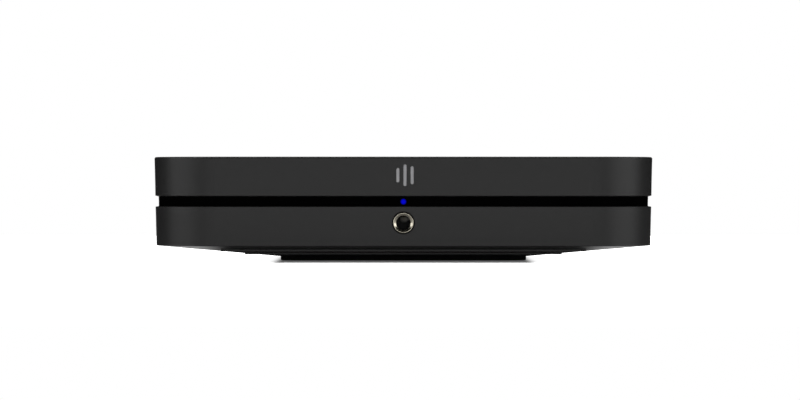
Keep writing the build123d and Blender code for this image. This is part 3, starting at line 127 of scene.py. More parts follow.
def make_table():
    """Square sheet of table under the streamer. To the camera it glows beside the foot and
    away from the case's front and rear, and in mirror images only in a strip beside the
    case. From below it is clear, and it shines softly on the underside of the streamer."""
    half = table_size / 2
    mesh = bpy.data.meshes.new("table")
    outline = [(-half, -half), (half, -half), (half, half), (-half, half)]
    corners = [(x, y, -table_gap) for x, y in outline]
    mesh.from_pydata(corners, [], [(0, 1, 2, 3)])
    table = bpy.data.objects.new("table", mesh)
    bpy.context.scene.collection.objects.link(table)
    material = bpy.data.materials.new("table")
    material.use_nodes = True
    tree = material.node_tree
    tree.nodes.clear()
    axes = places(tree)[1]
    aside = unsigned(tree, axes["X"])
    along = unsigned(tree, axes["Y"])
    seen_directly = seen(tree, "Is Camera Ray", "Is Transmission Ray")
    mirrored = seen(tree, "Is Glossy Ray")
    sides = ramp(tree, aside, seen_glow_reach, seen_glow)
    away = ramp(tree, along, seen_glow_depth, seen_front_glow)
    direct_glow = joined(tree, "MULTIPLY", joined(tree, "MAXIMUM", sides, away), seen_directly)
    beside = ramp(tree, aside, mirrored_glow_reach, mirrored_glow)
    close = ramp(tree, aside, mirrored_glow_end, (1.0, 0.0))
    near = ramp(tree, along, mirrored_glow_depth, (1.0, 0.0))
    strip = joined(tree, "MULTIPLY", joined(tree, "MULTIPLY", beside, close), near)
    mirror_glow = joined(tree, "MULTIPLY", strip, mirrored)
    path = tree.nodes.new("ShaderNodeLightPath")
    from_below = ramp(tree, path.outputs["Transparent Depth"], (0.0, 1.0), (0.0, glow_from_below))
    bounced = seen(tree, "Is Diffuse Ray", "Is Glossy Ray")
    under_glow = joined(tree, "MULTIPLY", from_below, bounced)
    above_glow = joined(tree, "ADD", direct_glow, mirror_glow)
    glow = tree.nodes.new("ShaderNodeEmission")
    tree.links.new(joined(tree, "MAXIMUM", above_glow, under_glow), glow.inputs["Strength"])
    front = ramp(tree, axes["Y"], mirrored_front_reach, (mirrored_front_shade, 0.0))
    middle_levels = (mirrored_middle_shade, mirrored_edge_shade)
    middle = ramp(tree, aside, mirrored_middle_reach, middle_levels)
    mirrored_shade = joined(tree, "MULTIPLY", joined(tree, "MAXIMUM", front, middle), mirrored)
    lit_shade = ramp(tree, mirrored, (0.0, 1.0), (table_reflectance, 0.0))
    matt = tree.nodes.new("ShaderNodeBsdfDiffuse")
    tree.links.new(joined(tree, "ADD", lit_shade, mirrored_shade), matt.inputs["Color"])
    both = tree.nodes.new("ShaderNodeAddShader")
    tree.links.new(matt.outputs[0], both.inputs[0])
    tree.links.new(glow.outputs[0], both.inputs[1])
    geometry = tree.nodes.new("ShaderNodeNewGeometry")
    clear = tree.nodes.new("ShaderNodeBsdfTransparent")
    one_way = tree.nodes.new("ShaderNodeMixShader")
    tree.links.new(geometry.outputs["Backfacing"], one_way.inputs[0])
    tree.links.new(both.outputs[0], one_way.inputs[1])
    tree.links.new(clear.outputs[0], one_way.inputs[2])
    output = tree.nodes.new("ShaderNodeOutputMaterial")
    tree.links.new(one_way.outputs[0], output.inputs["Surface"])
    mesh.materials.append(material)


make_table()


def make_room():
    """White room to the camera, dim room to the rays that light things, black to mirrors."""
    room = bpy.data.worlds.new("room")
    room.use_nodes = True
    bpy.context.scene.world = room
    tree = room.node_tree
    white = seen(tree, "Is Camera Ray", "Is Transmission Ray")
    dim = ramp(tree, seen(tree, "Is Diffuse Ray"), (0.0, 1.0), (0.0, room_light))
    background = tree.nodes["Background"]
    tree.links.new(joined(tree, "ADD", white, dim), background.inputs["Strength"])
    background.inputs["Color"].default_value = (1, 1, 1, 1)


make_room()


def soft_lamp(name, place, aim, width, height, power):
    """Soft box of a width and a height at a place, turned towards a point; power is in watts."""
    data = bpy.data.lights.new(name, "AREA")
    data.shape = "RECTANGLE"
    data.size = width
    data.size_y = height
    data.energy = power
    lamp = bpy.data.objects.new(name, data)
    lamp.location = place
    way = np.array(aim, float) - np.array(place, float)
    turn = np.arctan2(way[1], way[0])
    tilt = np.arctan2(np.hypot(way[0], way[1]), -way[2])
    lamp.rotation_euler = (tilt, 0, turn - pi / 2)
    bpy.context.scene.collection.objects.link(lamp)


lamp_aim = (0, 0, 0.02)
soft_lamp("overhead", place=(0, 0.15, 1.3), aim=(0, 0.1, 0), width=1.8, height=1.1, power=22.0)
soft_lamp("front", place=(0, -2.2, 0.13), aim=lamp_aim, width=1.8, height=0.36, power=12.2)
soft_lamp("side_left", place=(-1.37, -0.61, 0.3), aim=lamp_aim, width=1.6, height=0.5, power=13.8)
soft_lamp("side_right", place=(1.37, -0.61, 0.3), aim=lamp_aim, width=1.6, height=0.5, power=16.5)
soft_lamp("rear", place=(0, 1.5, 1.3), aim=lamp_aim, width=1.6, height=0.5, power=12.0)

# Case: two mouldings of black plastic with a fine satin spray, drawn together by four
# screws from below. The spray has a soft pebble that shows only in the shine.
case_black = (0.0068, 0.0068, 0.0068)
case_cloud = (0.0082, 0.0082, 0.0082)
pebble_strength = 0.6
cloud_band = (0.35, 0.7)
rub_turn = (0.4, 0.9, 0.6)
rub_stretch = (1.0, 0.03, 0.2)
rub_scale = 900.0
rub_band = (0.62, 0.72)
rub_share = 0.25
worn_band = (0.3, 0.8)


def shader_group(name, ins, outs):
    """Empty shader group with named sockets: (name, kind, value) going in, (name, kind) out."""
    kinds = {"value": "NodeSocketFloat", "color": "NodeSocketColor", "vector": "NodeSocketVector"}
    group = bpy.data.node_groups.new(name, "ShaderNodeTree")
    for label, kind, value in ins:
        socket = group.interface.new_socket(label, in_out="INPUT", socket_type=kinds[kind])
        socket.default_value = value
    for label, kind in outs:
        group.interface.new_socket(label, in_out="OUTPUT", socket_type=kinds[kind])
    return group, group.nodes.new("NodeGroupInput"), group.nodes.new("NodeGroupOutput")


def noise(tree, place, scale, detail):
    """Noise at a scale on a pattern space; the scale is a number or a socket."""
    node = tree.nodes.new("ShaderNodeTexNoise")
    node.inputs["Detail"].default_value = detail
    tree.links.new(place, node.inputs["Vector"])
    if isinstance(scale, (int, float)):
        node.inputs["Scale"].default_value = scale
    else:
        tree.links.new(scale, node.inputs["Scale"])
    return node.outputs["Fac"]


def ranged(tree, value, low, high, out_low, out_high):
    """Value between two ends mapped to two other ends; an end is a number or a socket."""
    node = tree.nodes.new("ShaderNodeMapRange")
    tree.links.new(value, node.inputs["Value"])
    ends = (low, high, out_low, out_high)
    for label, end in zip(("From Min", "From Max", "To Min", "To Max"), ends):
        if isinstance(end, (int, float)):
            node.inputs[label].default_value = end
        else:
            tree.links.new(end, node.inputs[label])
    return node.outputs["Result"]


def blended(tree, share, first, second):
    """Mix of two colours; a colour is a tuple or a socket."""
    node = tree.nodes.new("ShaderNodeMix")
    node.data_type = "RGBA"
    tree.links.new(share, node.inputs["Factor"])
    for socket, color in ((node.inputs[6], first), (node.inputs[7], second)):
        if isinstance(color, tuple):
            socket.default_value = color + (1,)
        else:
            tree.links.new(color, socket)
    return node.outputs[2]


def bumped(tree, height, strength, depth):
    """Normal of a surface whose height is given; strength and depth are numbers or sockets."""
    node = tree.nodes.new("ShaderNodeBump")
    tree.links.new(height, node.inputs["Height"])
    for label, value in (("Strength", strength), ("Distance", depth)):
        if isinstance(value, (int, float)):
            node.inputs[label].default_value = value
        else:
            tree.links.new(value, node.inputs[label])
    return node.outputs["Normal"]


def make_grain_group():
    """Moulded or sprayed skin: pebble that bumps the surface, faint cloudy patches that
    shift its colour, and fine rubbed scratches that shift its shine."""
    group, inside, outside = shader_group(
        "grain",
        [("Color", "color", (0.1, 0.1, 0.1, 1)), ("Cloud Color", "color", (0.1, 0.1, 0.1, 1)),
         ("Pebble Scale", "value", 2500), ("Pebble Depth", "value", 0.02 * MM),
         ("Cloud Scale", "value", 40), ("Shine", "value", 0.4), ("Shine Spread", "value", 0.06)],
        [("Color", "color"), ("Roughness", "value"), ("Normal", "vector")],
    )
    coords = group.nodes.new("ShaderNodeTexCoord")
    place = coords.outputs["Object"]
    pebble = noise(group, place, inside.outputs["Pebble Scale"], detail=2.0)
    cloud = noise(group, place, inside.outputs["Cloud Scale"], detail=4.0)
    cloud_share = ranged(group, cloud, *cloud_band, 0.0, 1.0)
    group.links.new(
        blended(group, cloud_share, inside.outputs["Color"], inside.outputs["Cloud Color"]),
        outside.inputs["Color"],
    )
    rub_space = group.nodes.new("ShaderNodeMapping")
    rub_space.inputs["Rotation"].default_value = rub_turn
    rub_space.inputs["Scale"].default_value = rub_stretch
    group.links.new(place, rub_space.inputs["Vector"])
    rub = noise(group, rub_space.outputs["Vector"], rub_scale, detail=3.0)
    worn = joined(group, "ADD", cloud, ranged(group, rub, *rub_band, 0.0, rub_share))
    smooth = joined(group, "SUBTRACT", inside.outputs["Shine"], inside.outputs["Shine Spread"])
    rough = joined(group, "ADD", inside.outputs["Shine"], inside.outputs["Shine Spread"])
    group.links.new(ranged(group, worn, *worn_band, smooth, rough), outside.inputs["Roughness"])
    skin = bumped(group, pebble, pebble_strength, inside.outputs["Pebble Depth"])
    group.links.new(skin, outside.inputs["Normal"])
    return group


grain_group = make_grain_group()


def new_finish(name, **plain):
    """Material with a Principled shader, whose even values are set on its own sockets."""
    material = bpy.data.materials.new(name)
    material.use_nodes = True
    shader = material.node_tree.nodes["Principled BSDF"]
    for label, value in plain.items():
        shader.inputs[label.replace("_", " ")].default_value = value
    return material, material.node_tree, shader


def skinned(tree, shader, group, values):
    """Adds a skin group to a material, sets its values and links what it gives."""
    skin = tree.nodes.new("ShaderNodeGroup")
    skin.node_tree = group
    for label, value in values.items():
        skin.inputs[label].default_value = value + (1,) if "Color" in label else value
    tree.links.new(skin.outputs["Color"], shader.inputs["Base Color"])
    tree.links.new(skin.outputs["Roughness"], shader.inputs["Roughness"])
    tree.links.new(skin.outputs["Normal"], shader.inputs["Normal"])
    return skin


def grained(name, color, cloud, shine, spread=0.05, pebble=2500, depth=0.02 * MM,
            cloud_scale=40, **plain):
    """Material of a moulded, sprayed, painted or rubber skin, and of printed ink."""
    material, tree, shader = new_finish(name, **plain)
    skinned(tree, shader, grain_group, {
        "Color": color, "Cloud Color": cloud, "Pebble Scale": pebble, "Pebble Depth": depth,
        "Cloud Scale": cloud_scale, "Shine": shine, "Shine Spread": spread,
    })
    return material


def dress(material, *names):
    """Gives CAD pieces their material."""
    for name in names:
        mesh = nodes[name].data
        mesh.materials.clear()
        mesh.materials.append(material)


dress(grained(
    "satin_case", case_black, case_cloud, shine=0.42,
    spread=0.02, pebble=3200, depth=0.012 * MM, cloud_scale=25, Specular_IOR_Level=0.16,
), "top_cover", "lower_case")

# Middle frame: a band of matt black plastic that sits back in the groove between the halves.
# A spark-eroded grain makes it drink the light.
band_black = (0.0004, 0.0004, 0.0004)
band_cloud = (0.0007, 0.0007, 0.0007)
dress(grained(
    "band_black", band_black, band_cloud, shine=0.85, pebble=4000, Specular_IOR_Level=0.0,
), "mid_frame")

# Bars let into the front of the upper half: three strips of zinc, brushed lengthwise and
# plated, pressed into pockets with glue behind them.
bar_plate = (0.125, 0.125, 0.128)
bar_tarnish = (0.095, 0.095, 0.097)
tarnish_scale = 160.0
tarnish_band = (0.45, 0.75)
noise_band = (0.3, 0.7)
line_strength = 0.5


def make_brushed_group():
    """Drawn or brushed metal: fine lines along one axis that bump the surface and shift its
    shine, over faint cloudy tarnish."""
    group, inside, outside = shader_group(
        "brushed",
        [("Color", "color", (0.6, 0.6, 0.6, 1)), ("Tarnish Color", "color", (0.5, 0.5, 0.5, 1)),
         ("Stretch", "vector", (1, 1, 1)), ("Line Scale", "value", 3000),
         ("Line Depth", "value", 0.005 * MM), ("Shine", "value", 0.3),
         ("Shine Spread", "value", 0.08)],
        [("Color", "color"), ("Roughness", "value"), ("Normal", "vector")],
    )
    coords = group.nodes.new("ShaderNodeTexCoord")
    mapping = group.nodes.new("ShaderNodeMapping")
    group.links.new(coords.outputs["Object"], mapping.inputs["Vector"])
    group.links.new(inside.outputs["Stretch"], mapping.inputs["Scale"])
    lines = noise(group, mapping.outputs["Vector"], inside.outputs["Line Scale"], detail=3.0)
    patch = noise(group, coords.outputs["Object"], tarnish_scale, detail=5.0)
    tarnish = ranged(group, patch, *tarnish_band, 0.0, 1.0)
    group.links.new(
        blended(group, tarnish, inside.outputs["Color"], inside.outputs["Tarnish Color"]),
        outside.inputs["Color"],
    )
    rough = joined(group, "ADD", inside.outputs["Shine"], inside.outputs["Shine Spread"])
    shine = ranged(group, lines, *noise_band, inside.outputs["Shine"], rough)
    group.links.new(shine, outside.inputs["Roughness"])
    skin = bumped(group, lines, line_strength, inside.outputs["Line Depth"])
    group.links.new(skin, outside.inputs["Normal"])
    return group


brushed_group = make_brushed_group()


def metal(name, color, tarnish, shine, stretch=(1, 1, 1), lines=3000):
    """Material of a bare or plated metal, whose lines run along the axis of small stretch."""
    material, tree, shader = new_finish(name, Metallic=1.0)
    skinned(tree, shader, brushed_group, {
        "Color": color, "Tarnish Color": tarnish, "Stretch": stretch, "Line Scale": lines,
        "Shine": shine,
    })
    return material


dress(metal(
    "brushed_plate", bar_plate, bar_tarnish, shine=0.32, stretch=(1, 1, 0.08), lines=5000,
), "front_inlay")

# Touch panel: a lens of clear plastic printed black behind and glued into the roof. Its five
# touch spots have thin grey prints: less, a ring, three dots, a ring round a dot, and more.
lens_black = (0.003, 0.003, 0.0034)
lens_cloud = (0.0045, 0.0045, 0.005)
lens_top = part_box("touch_panel")[1][2]
mark_height = 0.03 * MM
mark_width = 0.5 * MM
mark_spots = (-30 * MM, -15 * MM, 0.0, 15 * MM, 30 * MM)
mark_ring_radius = 2.2 * MM
mark_bar_length = 4.0 * MM
mark_dot_radius = 0.55 * MM
mark_dot_pitch = 2.2 * MM
mark_top_share = 0.8
mark_grey = (0.3, 0.3, 0.31)
mark_grey_cloud = (0.26, 0.26, 0.27)
dress(grained(
    "lens_black", lens_black, lens_cloud, shine=0.38,
    spread=0.01, pebble=400, depth=0.004 * MM, cloud_scale=60, Specular_IOR_Level=0.09,
), "touch_panel")


def middle_of(name):
    """Middle of a CAD piece's box."""
    low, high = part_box(name)
    return (low + high) / 2


def make_piece(name, points, faces, material, slot, body="chassis"):
    """New mesh piece that rides on a body and takes the material it is given; its slot is not used.
    """
    mesh = bpy.data.meshes.new(name)
    mesh.from_pydata(points.tolist(), [], faces)
    mesh.update()
    mesh.materials.append(material)
    piece = bpy.data.objects.new(name, mesh)
    bpy.context.scene.collection.objects.link(piece)
    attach(piece, body)
    return piece


def ring_faces(rings, steps, closed=False):
    """Faces between rings of points, each of the same number of steps. The end rings get a
    face of their own, or are joined to each other in a closed loop of rings."""
    rows = np.arange(rings if closed else rings - 1)
    row, step = np.meshgrid(rows, np.arange(steps), indexing="ij")
    after = (row + 1) % rings * steps
    beside = (step + 1) % steps
    corners = [row * steps + step, row * steps + beside, after + beside, after + step]
    faces = np.stack(corners, axis=-1).reshape(-1, 4).tolist()
    if not closed:
        faces += [list(range(steps))[::-1], list(range((rings - 1) * steps, rings * steps))]
    return faces


def print_stadium(length, width, height, steps=32):
    """Low print of a bar with round ends. Its outline is a circle whose halves are drawn
    apart, and it rises from the lens with a sloping edge to a flat top."""
    turn = np.linspace(0, 2 * pi, steps, endpoint=False) + pi / steps
    apart = np.sign(np.cos(turn)) * (length - width) / 2
    reach = np.array([1.0, 1.0, mark_top_share])[:, None] * width / 2
    level = np.array([-1.0, 0.0, 1.0])[:, None] * height
    points = np.stack([
        reach * np.cos(turn) + apart, reach * np.sin(turn), np.broadcast_to(level, (3, steps)),
    ], axis=-1)
    return points.reshape(-1, 3), ring_faces(3, steps)


def print_ring(radius, width, height, steps=48, sides=8):
    """Low print of a ring: a flat ellipse, as wide as the line, carried round a circle."""
    turn = np.linspace(0, 2 * pi, steps, endpoint=False)
    side = np.linspace(0, 2 * pi, sides, endpoint=False)[:, None]
    reach = radius + np.cos(side) * width / 2
    level = np.sin(side) * height
    points = np.stack([
        reach * np.cos(turn), reach * np.sin(turn), np.broadcast_to(level, (sides, steps)),
    ], axis=-1)
    return points.reshape(-1, 3), ring_faces(sides, steps, closed=True)


def gathered(parts):
    """Several (points, faces, shift) parts as one set of points and faces."""
    points, faces, count = [], [], 0
    for part_points, part_faces, shift in parts:
        points.append(part_points + np.array(shift))
        faces += [[corner + count for corner in face] for face in part_faces]
        count += len(part_points)
    return np.concatenate(points), faces


def make_touch_marks():
    """Marks of the five touch spots, printed on the lens."""
    spots = [(x, middle_of("touch_panel")[1], lens_top) for x in mark_spots]
    less, first_ring, dots, second_ring, more = spots
    bar = print_stadium(mark_bar_length, mark_width, mark_height)
    upright = (bar[0][:, [1, 0, 2]] * np.array([-1, 1, 1]), bar[1])
    circle = print_ring(mark_ring_radius, mark_width, mark_height)
    dot = print_stadium(2 * mark_dot_radius, 2 * mark_dot_radius, mark_height)
    parts = [bar + (less,), bar + (more,), upright + (more,)]
    parts += [circle + (first_ring,), circle + (second_ring,), dot + (second_ring,)]
    parts += [dot + ((dots[0] + step * mark_dot_pitch, dots[1], dots[2]),) for step in (-1, 0, 1)]
    ink = grained("grey_ink", mark_grey, mark_grey_cloud, shine=0.45, pebble=6000, depth=0.004 * MM)
    make_piece("touch_marks", *gathered(parts), ink, "pad_grey")


make_touch_marks()

# Boards: glass and epoxy under a green mask. Copper tracks show through it as paler lines,
# with small tinned spots where they pass through the board.
mask_green = (0.008, 0.05, 0.02)
track_green = (0.014, 0.1, 0.036)
track_sizes = (1.0, 0.43)
track_offset = 0.37
track_squash = 1.6
track_width = 0.035
track_softness = 0.3
spot_edge = (0.1, 0.14)
board_cloud_scale = 300.0
board_shine = (0.25, 0.4)
board_relief = 0.03 * MM
board_relief_strength = 0.5


def make_board_group():
    """Circuit board: two sizes of square-cornered track under the mask, and tinned spots."""
    group, inside, outside = shader_group(
        "board",
        [("Color", "color", (0.01, 0.06, 0.02, 1)), ("Track Color", "color", (0.02, 0.12, 0.04, 1)),
         ("Hole Color", "color", (0.5, 0.5, 0.48, 1)), ("Track Scale", "value", 180),
         ("Hole Scale", "value", 260)],
        [("Color", "color"), ("Roughness", "value"), ("Normal", "vector")],
    )
    coords = group.nodes.new("ShaderNodeTexCoord")
    place = coords.outputs["Object"]
    tracks = []
    for scale_share, turn in zip(track_sizes, (0.0, pi / 2)):
        space = group.nodes.new("ShaderNodeMapping")
        space.inputs["Rotation"].default_value = (0, 0, turn)
        group.links.new(place, space.inputs["Vector"])
        brick = group.nodes.new("ShaderNodeTexBrick")
        brick.offset = track_offset
        brick.squash = track_squash
        brick.inputs["Mortar Size"].default_value = track_width
        brick.inputs["Mortar Smooth"].default_value = track_softness
        size = group.nodes.new("ShaderNodeMath")
        size.operation = "MULTIPLY"
        size.inputs[1].default_value = scale_share
        group.links.new(inside.outputs["Track Scale"], size.inputs[0])
        group.links.new(size.outputs[0], brick.inputs["Scale"])
        group.links.new(space.outputs["Vector"], brick.inputs["Vector"])
        tracks.append(brick.outputs["Fac"])
    track = joined(group, "MAXIMUM", tracks[0], tracks[1])
    cells = group.nodes.new("ShaderNodeTexVoronoi")
    group.links.new(place, cells.inputs["Vector"])
    group.links.new(inside.outputs["Hole Scale"], cells.inputs["Scale"])
    hole = ranged(group, cells.outputs["Distance"], *spot_edge, 1.0, 0.0)
    masked = blended(group, track, inside.outputs["Color"], inside.outputs["Track Color"])
    spotted = blended(group, hole, masked, inside.outputs["Hole Color"])
    group.links.new(spotted, outside.inputs["Color"])
    cloud = noise(group, place, board_cloud_scale, detail=3.0)
    group.links.new(ranged(group, cloud, *noise_band, *board_shine), outside.inputs["Roughness"])
    height = joined(group, "ADD", track, hole)
    relief = bumped(group, height, board_relief_strength, board_relief)
    group.links.new(relief, outside.inputs["Normal"])
    return group


board_group = make_board_group()


def make_board_finish():
    """Material of the circuit boards."""
    material, tree, shader = new_finish("solder_mask", Specular_IOR_Level=0.5)
    skinned(tree, shader, board_group, {"Color": mask_green, "Track Color": track_green})
    return material


dress(
    make_board_finish(),
    "main_board", "power_board", "headphone_board", "touch_board", "status_board",
)

# Chips and their neighbours: moulded black epoxy on the boards, with rows of tiny resistors
# that have tinned ends, soldered along the free strips of the main board.
tiny_length = 1.6 * MM
tiny_width = 0.8 * MM
tiny_height = 0.45 * MM
tiny_pitch = 2.1 * MM
tiny_row_gap = 2.8 * MM
tiny_row_count = 22
tiny_column_gap = 2.6 * MM
tiny_column_count = 12
tiny_body = (0.02, 0.02, 0.022)
tiny_ends = (0.55, 0.55, 0.53)
tiny_end_edge = (0.6, 0.66)
tiny_speckle_scale = 5000.0
tiny_shine = (0.35, 0.55)
epoxy_black = (0.02, 0.02, 0.021)
epoxy_cloud = (0.026, 0.026, 0.027)
board_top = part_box("main_board")[1][2]
dress(grained(
    "chip_epoxy", epoxy_black, epoxy_cloud, shine=0.6, pebble=5000,
), "processor", "board_chips", "light_sensors")


def rounded_block(length, width, height, steps=16, rings=8, square=0.35):
    """Block with soft corners, resting on height zero. It is a superellipsoid: the cosines
    and sines of a sphere are raised to a power under one, with their signs kept."""
    turn = np.linspace(0, 2 * pi, steps, endpoint=False)
    lift = np.linspace(-pi / 2, pi / 2, rings + 2)[1:-1, None]

    def soft(value):
        """Power of a value's size, with the value's sign."""
        return np.sign(value) * np.abs(value) ** square

    points = np.stack([
        soft(np.cos(lift)) * soft(np.cos(turn)) * length / 2,
        soft(np.cos(lift)) * soft(np.sin(turn)) * width / 2,
        np.broadcast_to((soft(np.sin(lift)) + 1) * height / 2, (rings, steps)),
    ], axis=-1)
    return points.reshape(-1, 3), ring_faces(rings, steps)


def make_tiny_finish():
    """Black body with tinned ends: the ends are told by the piece's own end_share."""
    material, tree, shader = new_finish("tiny_resistors", Specular_IOR_Level=0.5)
    share = tree.nodes.new("ShaderNodeAttribute")
    share.attribute_name = "end_share"
    coords = tree.nodes.new("ShaderNodeTexCoord")
    speckle = noise(tree, coords.outputs["Object"], tiny_speckle_scale, detail=2.0)
    tinned = ranged(tree, share.outputs["Fac"], *tiny_end_edge, 0.0, 1.0)
    tree.links.new(blended(tree, tinned, tiny_body, tiny_ends), shader.inputs["Base Color"])
    tree.links.new(ranged(tree, speckle, *noise_band, *tiny_shine), shader.inputs["Roughness"])
    speckled = bumped(tree, speckle, strength=0.4, depth=0.01 * MM)
    tree.links.new(speckled, shader.inputs["Normal"])
    return material


def make_tiny_parts():
    """Rows of tiny resistors on the main board, behind the heat sink and beside the shield."""
    sink_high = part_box("heat_sink")[1]
    can_low, can_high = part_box("shield_can")
    row_y = sink_high[1] + tiny_row_gap
    column_x = can_low[0] - tiny_column_gap
    spots = [(can_high[0] + index * tiny_pitch, row_y) for index in range(tiny_row_count)]
    spots += [(column_x, can_low[1] + index * tiny_pitch) for index in range(tiny_column_count)]
    points, faces = rounded_block(tiny_width, tiny_length, tiny_height)
    shares = np.tile(np.abs(points[:, 1]) / (tiny_length / 2), len(spots))
    rows = gathered([(points, faces, (x, y, board_top)) for x, y in spots])
    piece = make_piece("tiny_parts", *rows, make_tiny_finish(), "chip_black")
    ends = piece.data.attributes.new("end_share", "FLOAT", "POINT")
    ends.data.foreach_set("value", shares.astype(np.float32))


make_tiny_parts()

# Ribbons: flat white film with ten copper strips inside, which show as faint darker lines.
# They push into ivory connectors on the boards.
ribbon_pitch = 0.8 * MM
ribbon_depth = 0.03 * MM
ribbon_white = (0.62, 0.63, 0.62)
ribbon_copper = (0.42, 0.4, 0.36)
ivory = (0.62, 0.58, 0.48)
ivory_cloud = (0.58, 0.54, 0.44)
wave_rate = 20
line_edge = (0.25, 0.6)
line_relief_strength = 0.6
line_cloud_scale = 400.0
line_dulling = 0.15


def make_lined_group():
    """Skin with even lines along one direction: strips of a ribbon, turns of a coil or ribs."""
    group, inside, outside = shader_group(
        "lined",
        [("Color", "color", (0.6, 0.6, 0.6, 1)), ("Line Color", "color", (0.5, 0.5, 0.5, 1)),
         ("Turn", "vector", (0, 0, 0)), ("Line Scale", "value", 300),
         ("Line Depth", "value", 0.05 * MM), ("Shine", "value", 0.35)],
        [("Color", "color"), ("Roughness", "value"), ("Normal", "vector")],
    )
    coords = group.nodes.new("ShaderNodeTexCoord")
    space = group.nodes.new("ShaderNodeMapping")
    group.links.new(coords.outputs["Object"], space.inputs["Vector"])
    group.links.new(inside.outputs["Turn"], space.inputs["Rotation"])
    wave = group.nodes.new("ShaderNodeTexWave")
    wave.bands_direction = "X"
    group.links.new(space.outputs["Vector"], wave.inputs["Vector"])
    group.links.new(inside.outputs["Line Scale"], wave.inputs["Scale"])
    cloud = noise(group, coords.outputs["Object"], line_cloud_scale, detail=4.0)
    line = ranged(group, wave.outputs["Fac"], *line_edge, 1.0, 0.0)
    color = blended(group, line, inside.outputs["Color"], inside.outputs["Line Color"])
    group.links.new(color, outside.inputs["Color"])
    dulling = ranged(group, cloud, *noise_band, 0.0, line_dulling)
    dull = joined(group, "ADD", inside.outputs["Shine"], dulling)
    group.links.new(dull, outside.inputs["Roughness"])
    ribs = bumped(group, wave.outputs["Fac"], line_relief_strength, inside.outputs["Line Depth"])
    group.links.new(ribs, outside.inputs["Normal"])
    return group


lined_group = make_lined_group()


def lined(name, color, line, pitch, depth, shine, turn=(0, 0, 0), **plain):
    """Material with even lines a pitch apart, turned about the axes. The wave texture has
    wave_rate radians to a metre at a scale of one, and a pitch is one whole turn."""
    material, tree, shader = new_finish(name, **plain)
    skinned(tree, shader, lined_group, {
        "Color": color, "Line Color": line, "Turn": turn, "Line Scale": 2 * pi / wave_rate / pitch,
        "Line Depth": depth, "Shine": shine,
    })
    return material


dress(lined(
    "ribbon_film", ribbon_white, ribbon_copper, ribbon_pitch, ribbon_depth, shine=0.3,
), "touch_ribbon", "status_ribbon", "headphone_ribbon")
dress(grained("connector_ivory", ivory, ivory_cloud, shine=0.5), "board_connectors")

# Status light: a rod of blue-tinted clear plastic in the band, lit from behind by a lamp on a
# small upright board. It glows in the middle and fades towards its rim.
light_core = 0.5 * MM
light_rim = 1.35 * MM
core_blue = (0.0, 0.0005, 0.6)
rim_blue = (0.0, 0.0, 0.16)
unlit_blue = (0.0, 0.0005, 0.03)
frost_scale = 4000.0
frost_shine = (0.5, 0.65)
lamp_clear = (0.6, 0.62, 0.66)


def axis_distance(tree, place, middle, reach):
    """Distance from a line along y through a middle in x and z, as a share of a reach in each."""
    space = tree.nodes.new("ShaderNodeMapping")
    space.inputs["Scale"].default_value = (1 / reach[0], 0, 1 / reach[1])
    space.inputs["Location"].default_value = (-middle[0] / reach[0], 0, -middle[1] / reach[1])
    tree.links.new(place, space.inputs["Vector"])
    length = tree.nodes.new("ShaderNodeVectorMath")
    length.operation = "LENGTH"
    tree.links.new(space.outputs["Vector"], length.inputs[0])
    return length.outputs["Value"]


def make_light_finish():
    """Glow that falls off with the distance from the rod's axis, over a frosted grain."""
    material, tree, shader = new_finish(
        "light_pipe_blue", Base_Color=unlit_blue + (1,), Emission_Strength=1.0,
        Specular_IOR_Level=0.02,
    )
    place = places(tree)[0]
    distance = axis_distance(tree, place, middle_of("light_pipe").xz, (1, 1))
    rim_share = ranged(tree, distance, light_core, light_rim, 0.0, 1.0)
    tree.links.new(blended(tree, rim_share, core_blue, rim_blue), shader.inputs["Emission Color"])
    frost = noise(tree, place, frost_scale, detail=2.0)
    tree.links.new(ranged(tree, frost, *noise_band, *frost_shine), shader.inputs["Roughness"])
    frosted = bumped(tree, frost, strength=0.4, depth=0.01 * MM)
    tree.links.new(frosted, shader.inputs["Normal"])
    return material


dress(make_light_finish(), "light_pipe")
dress(grained("lamp_clear", lamp_clear, lamp_clear, shine=0.2), "status_led")

# Headphone socket: a turned bush of satin nickel in front of a moulded body with two
# sprung contacts of gold-flashed bronze.
bush_nickel = (0.21, 0.197, 0.162)
bush_tarnish = (0.17, 0.157, 0.126)
gold = (0.8, 0.58, 0.25)
gold_tarnish = (0.62, 0.42, 0.18)
bore_black = (0.0022, 0.002, 0.0018)
bore_black_cloud = (0.0035, 0.0032, 0.003)
# Painted light: a pale colour painted in an oval high on the far end of the bore, for light that
# shines into it.
bore_painted_light = (0.62, 0.6, 0.54)
bore_painted_light_depth = 4.0 * MM
bore_painted_light_shift = (0.45 * MM, 1.6 * MM)
bore_painted_light_reach = (2.3 * MM, 1.7 * MM)
bore_painted_light_edge = (0.4, 1.1)
dress(metal(
    "satin_nickel", bush_nickel, bush_tarnish, shine=0.2, stretch=(1, 0.05, 1), lines=4500,
), "headphone_bush")
gold_flash = metal("gold_flash", gold, gold_tarnish, shine=0.22, lines=5000)
dress(gold_flash, "tip_contact", "ring_contact", "network_contacts")


def make_bore_finish():
    """Matt black moulding with painted light: a pale oval high on the far end of the bore, told by
    its place, stands for light shining into the bore.
    """
    material, tree, shader = new_finish("bore_black", Specular_IOR_Level=0.15)
    skin = skinned(tree, shader, grain_group, {
        "Color": bore_black, "Cloud Color": bore_black_cloud, "Pebble Scale": 3500,
        "Pebble Depth": 0.01 * MM, "Cloud Scale": 40, "Shine": 0.5, "Shine Spread": 0.05,
    })
    place, axes = places(tree)
    bore = middle_of("headphone_bush")
    middle = (bore.x + bore_painted_light_shift[0], bore.z + bore_painted_light_shift[1])
    distance = axis_distance(tree, place, middle, bore_painted_light_reach)
    painted_light_oval = ramp(tree, distance, bore_painted_light_edge, (1.0, 0.0))
    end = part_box("headphone_socket")[1][1] - bore_painted_light_depth
    deep = ramp(tree, axes["Y"], (end, end + MM), (0.0, 1.0))
    share = joined(tree, "MULTIPLY", painted_light_oval, deep)
    color = blended(tree, share, skin.outputs["Color"], bore_painted_light)
    tree.links.new(color, shader.inputs["Base Color"])
    return material


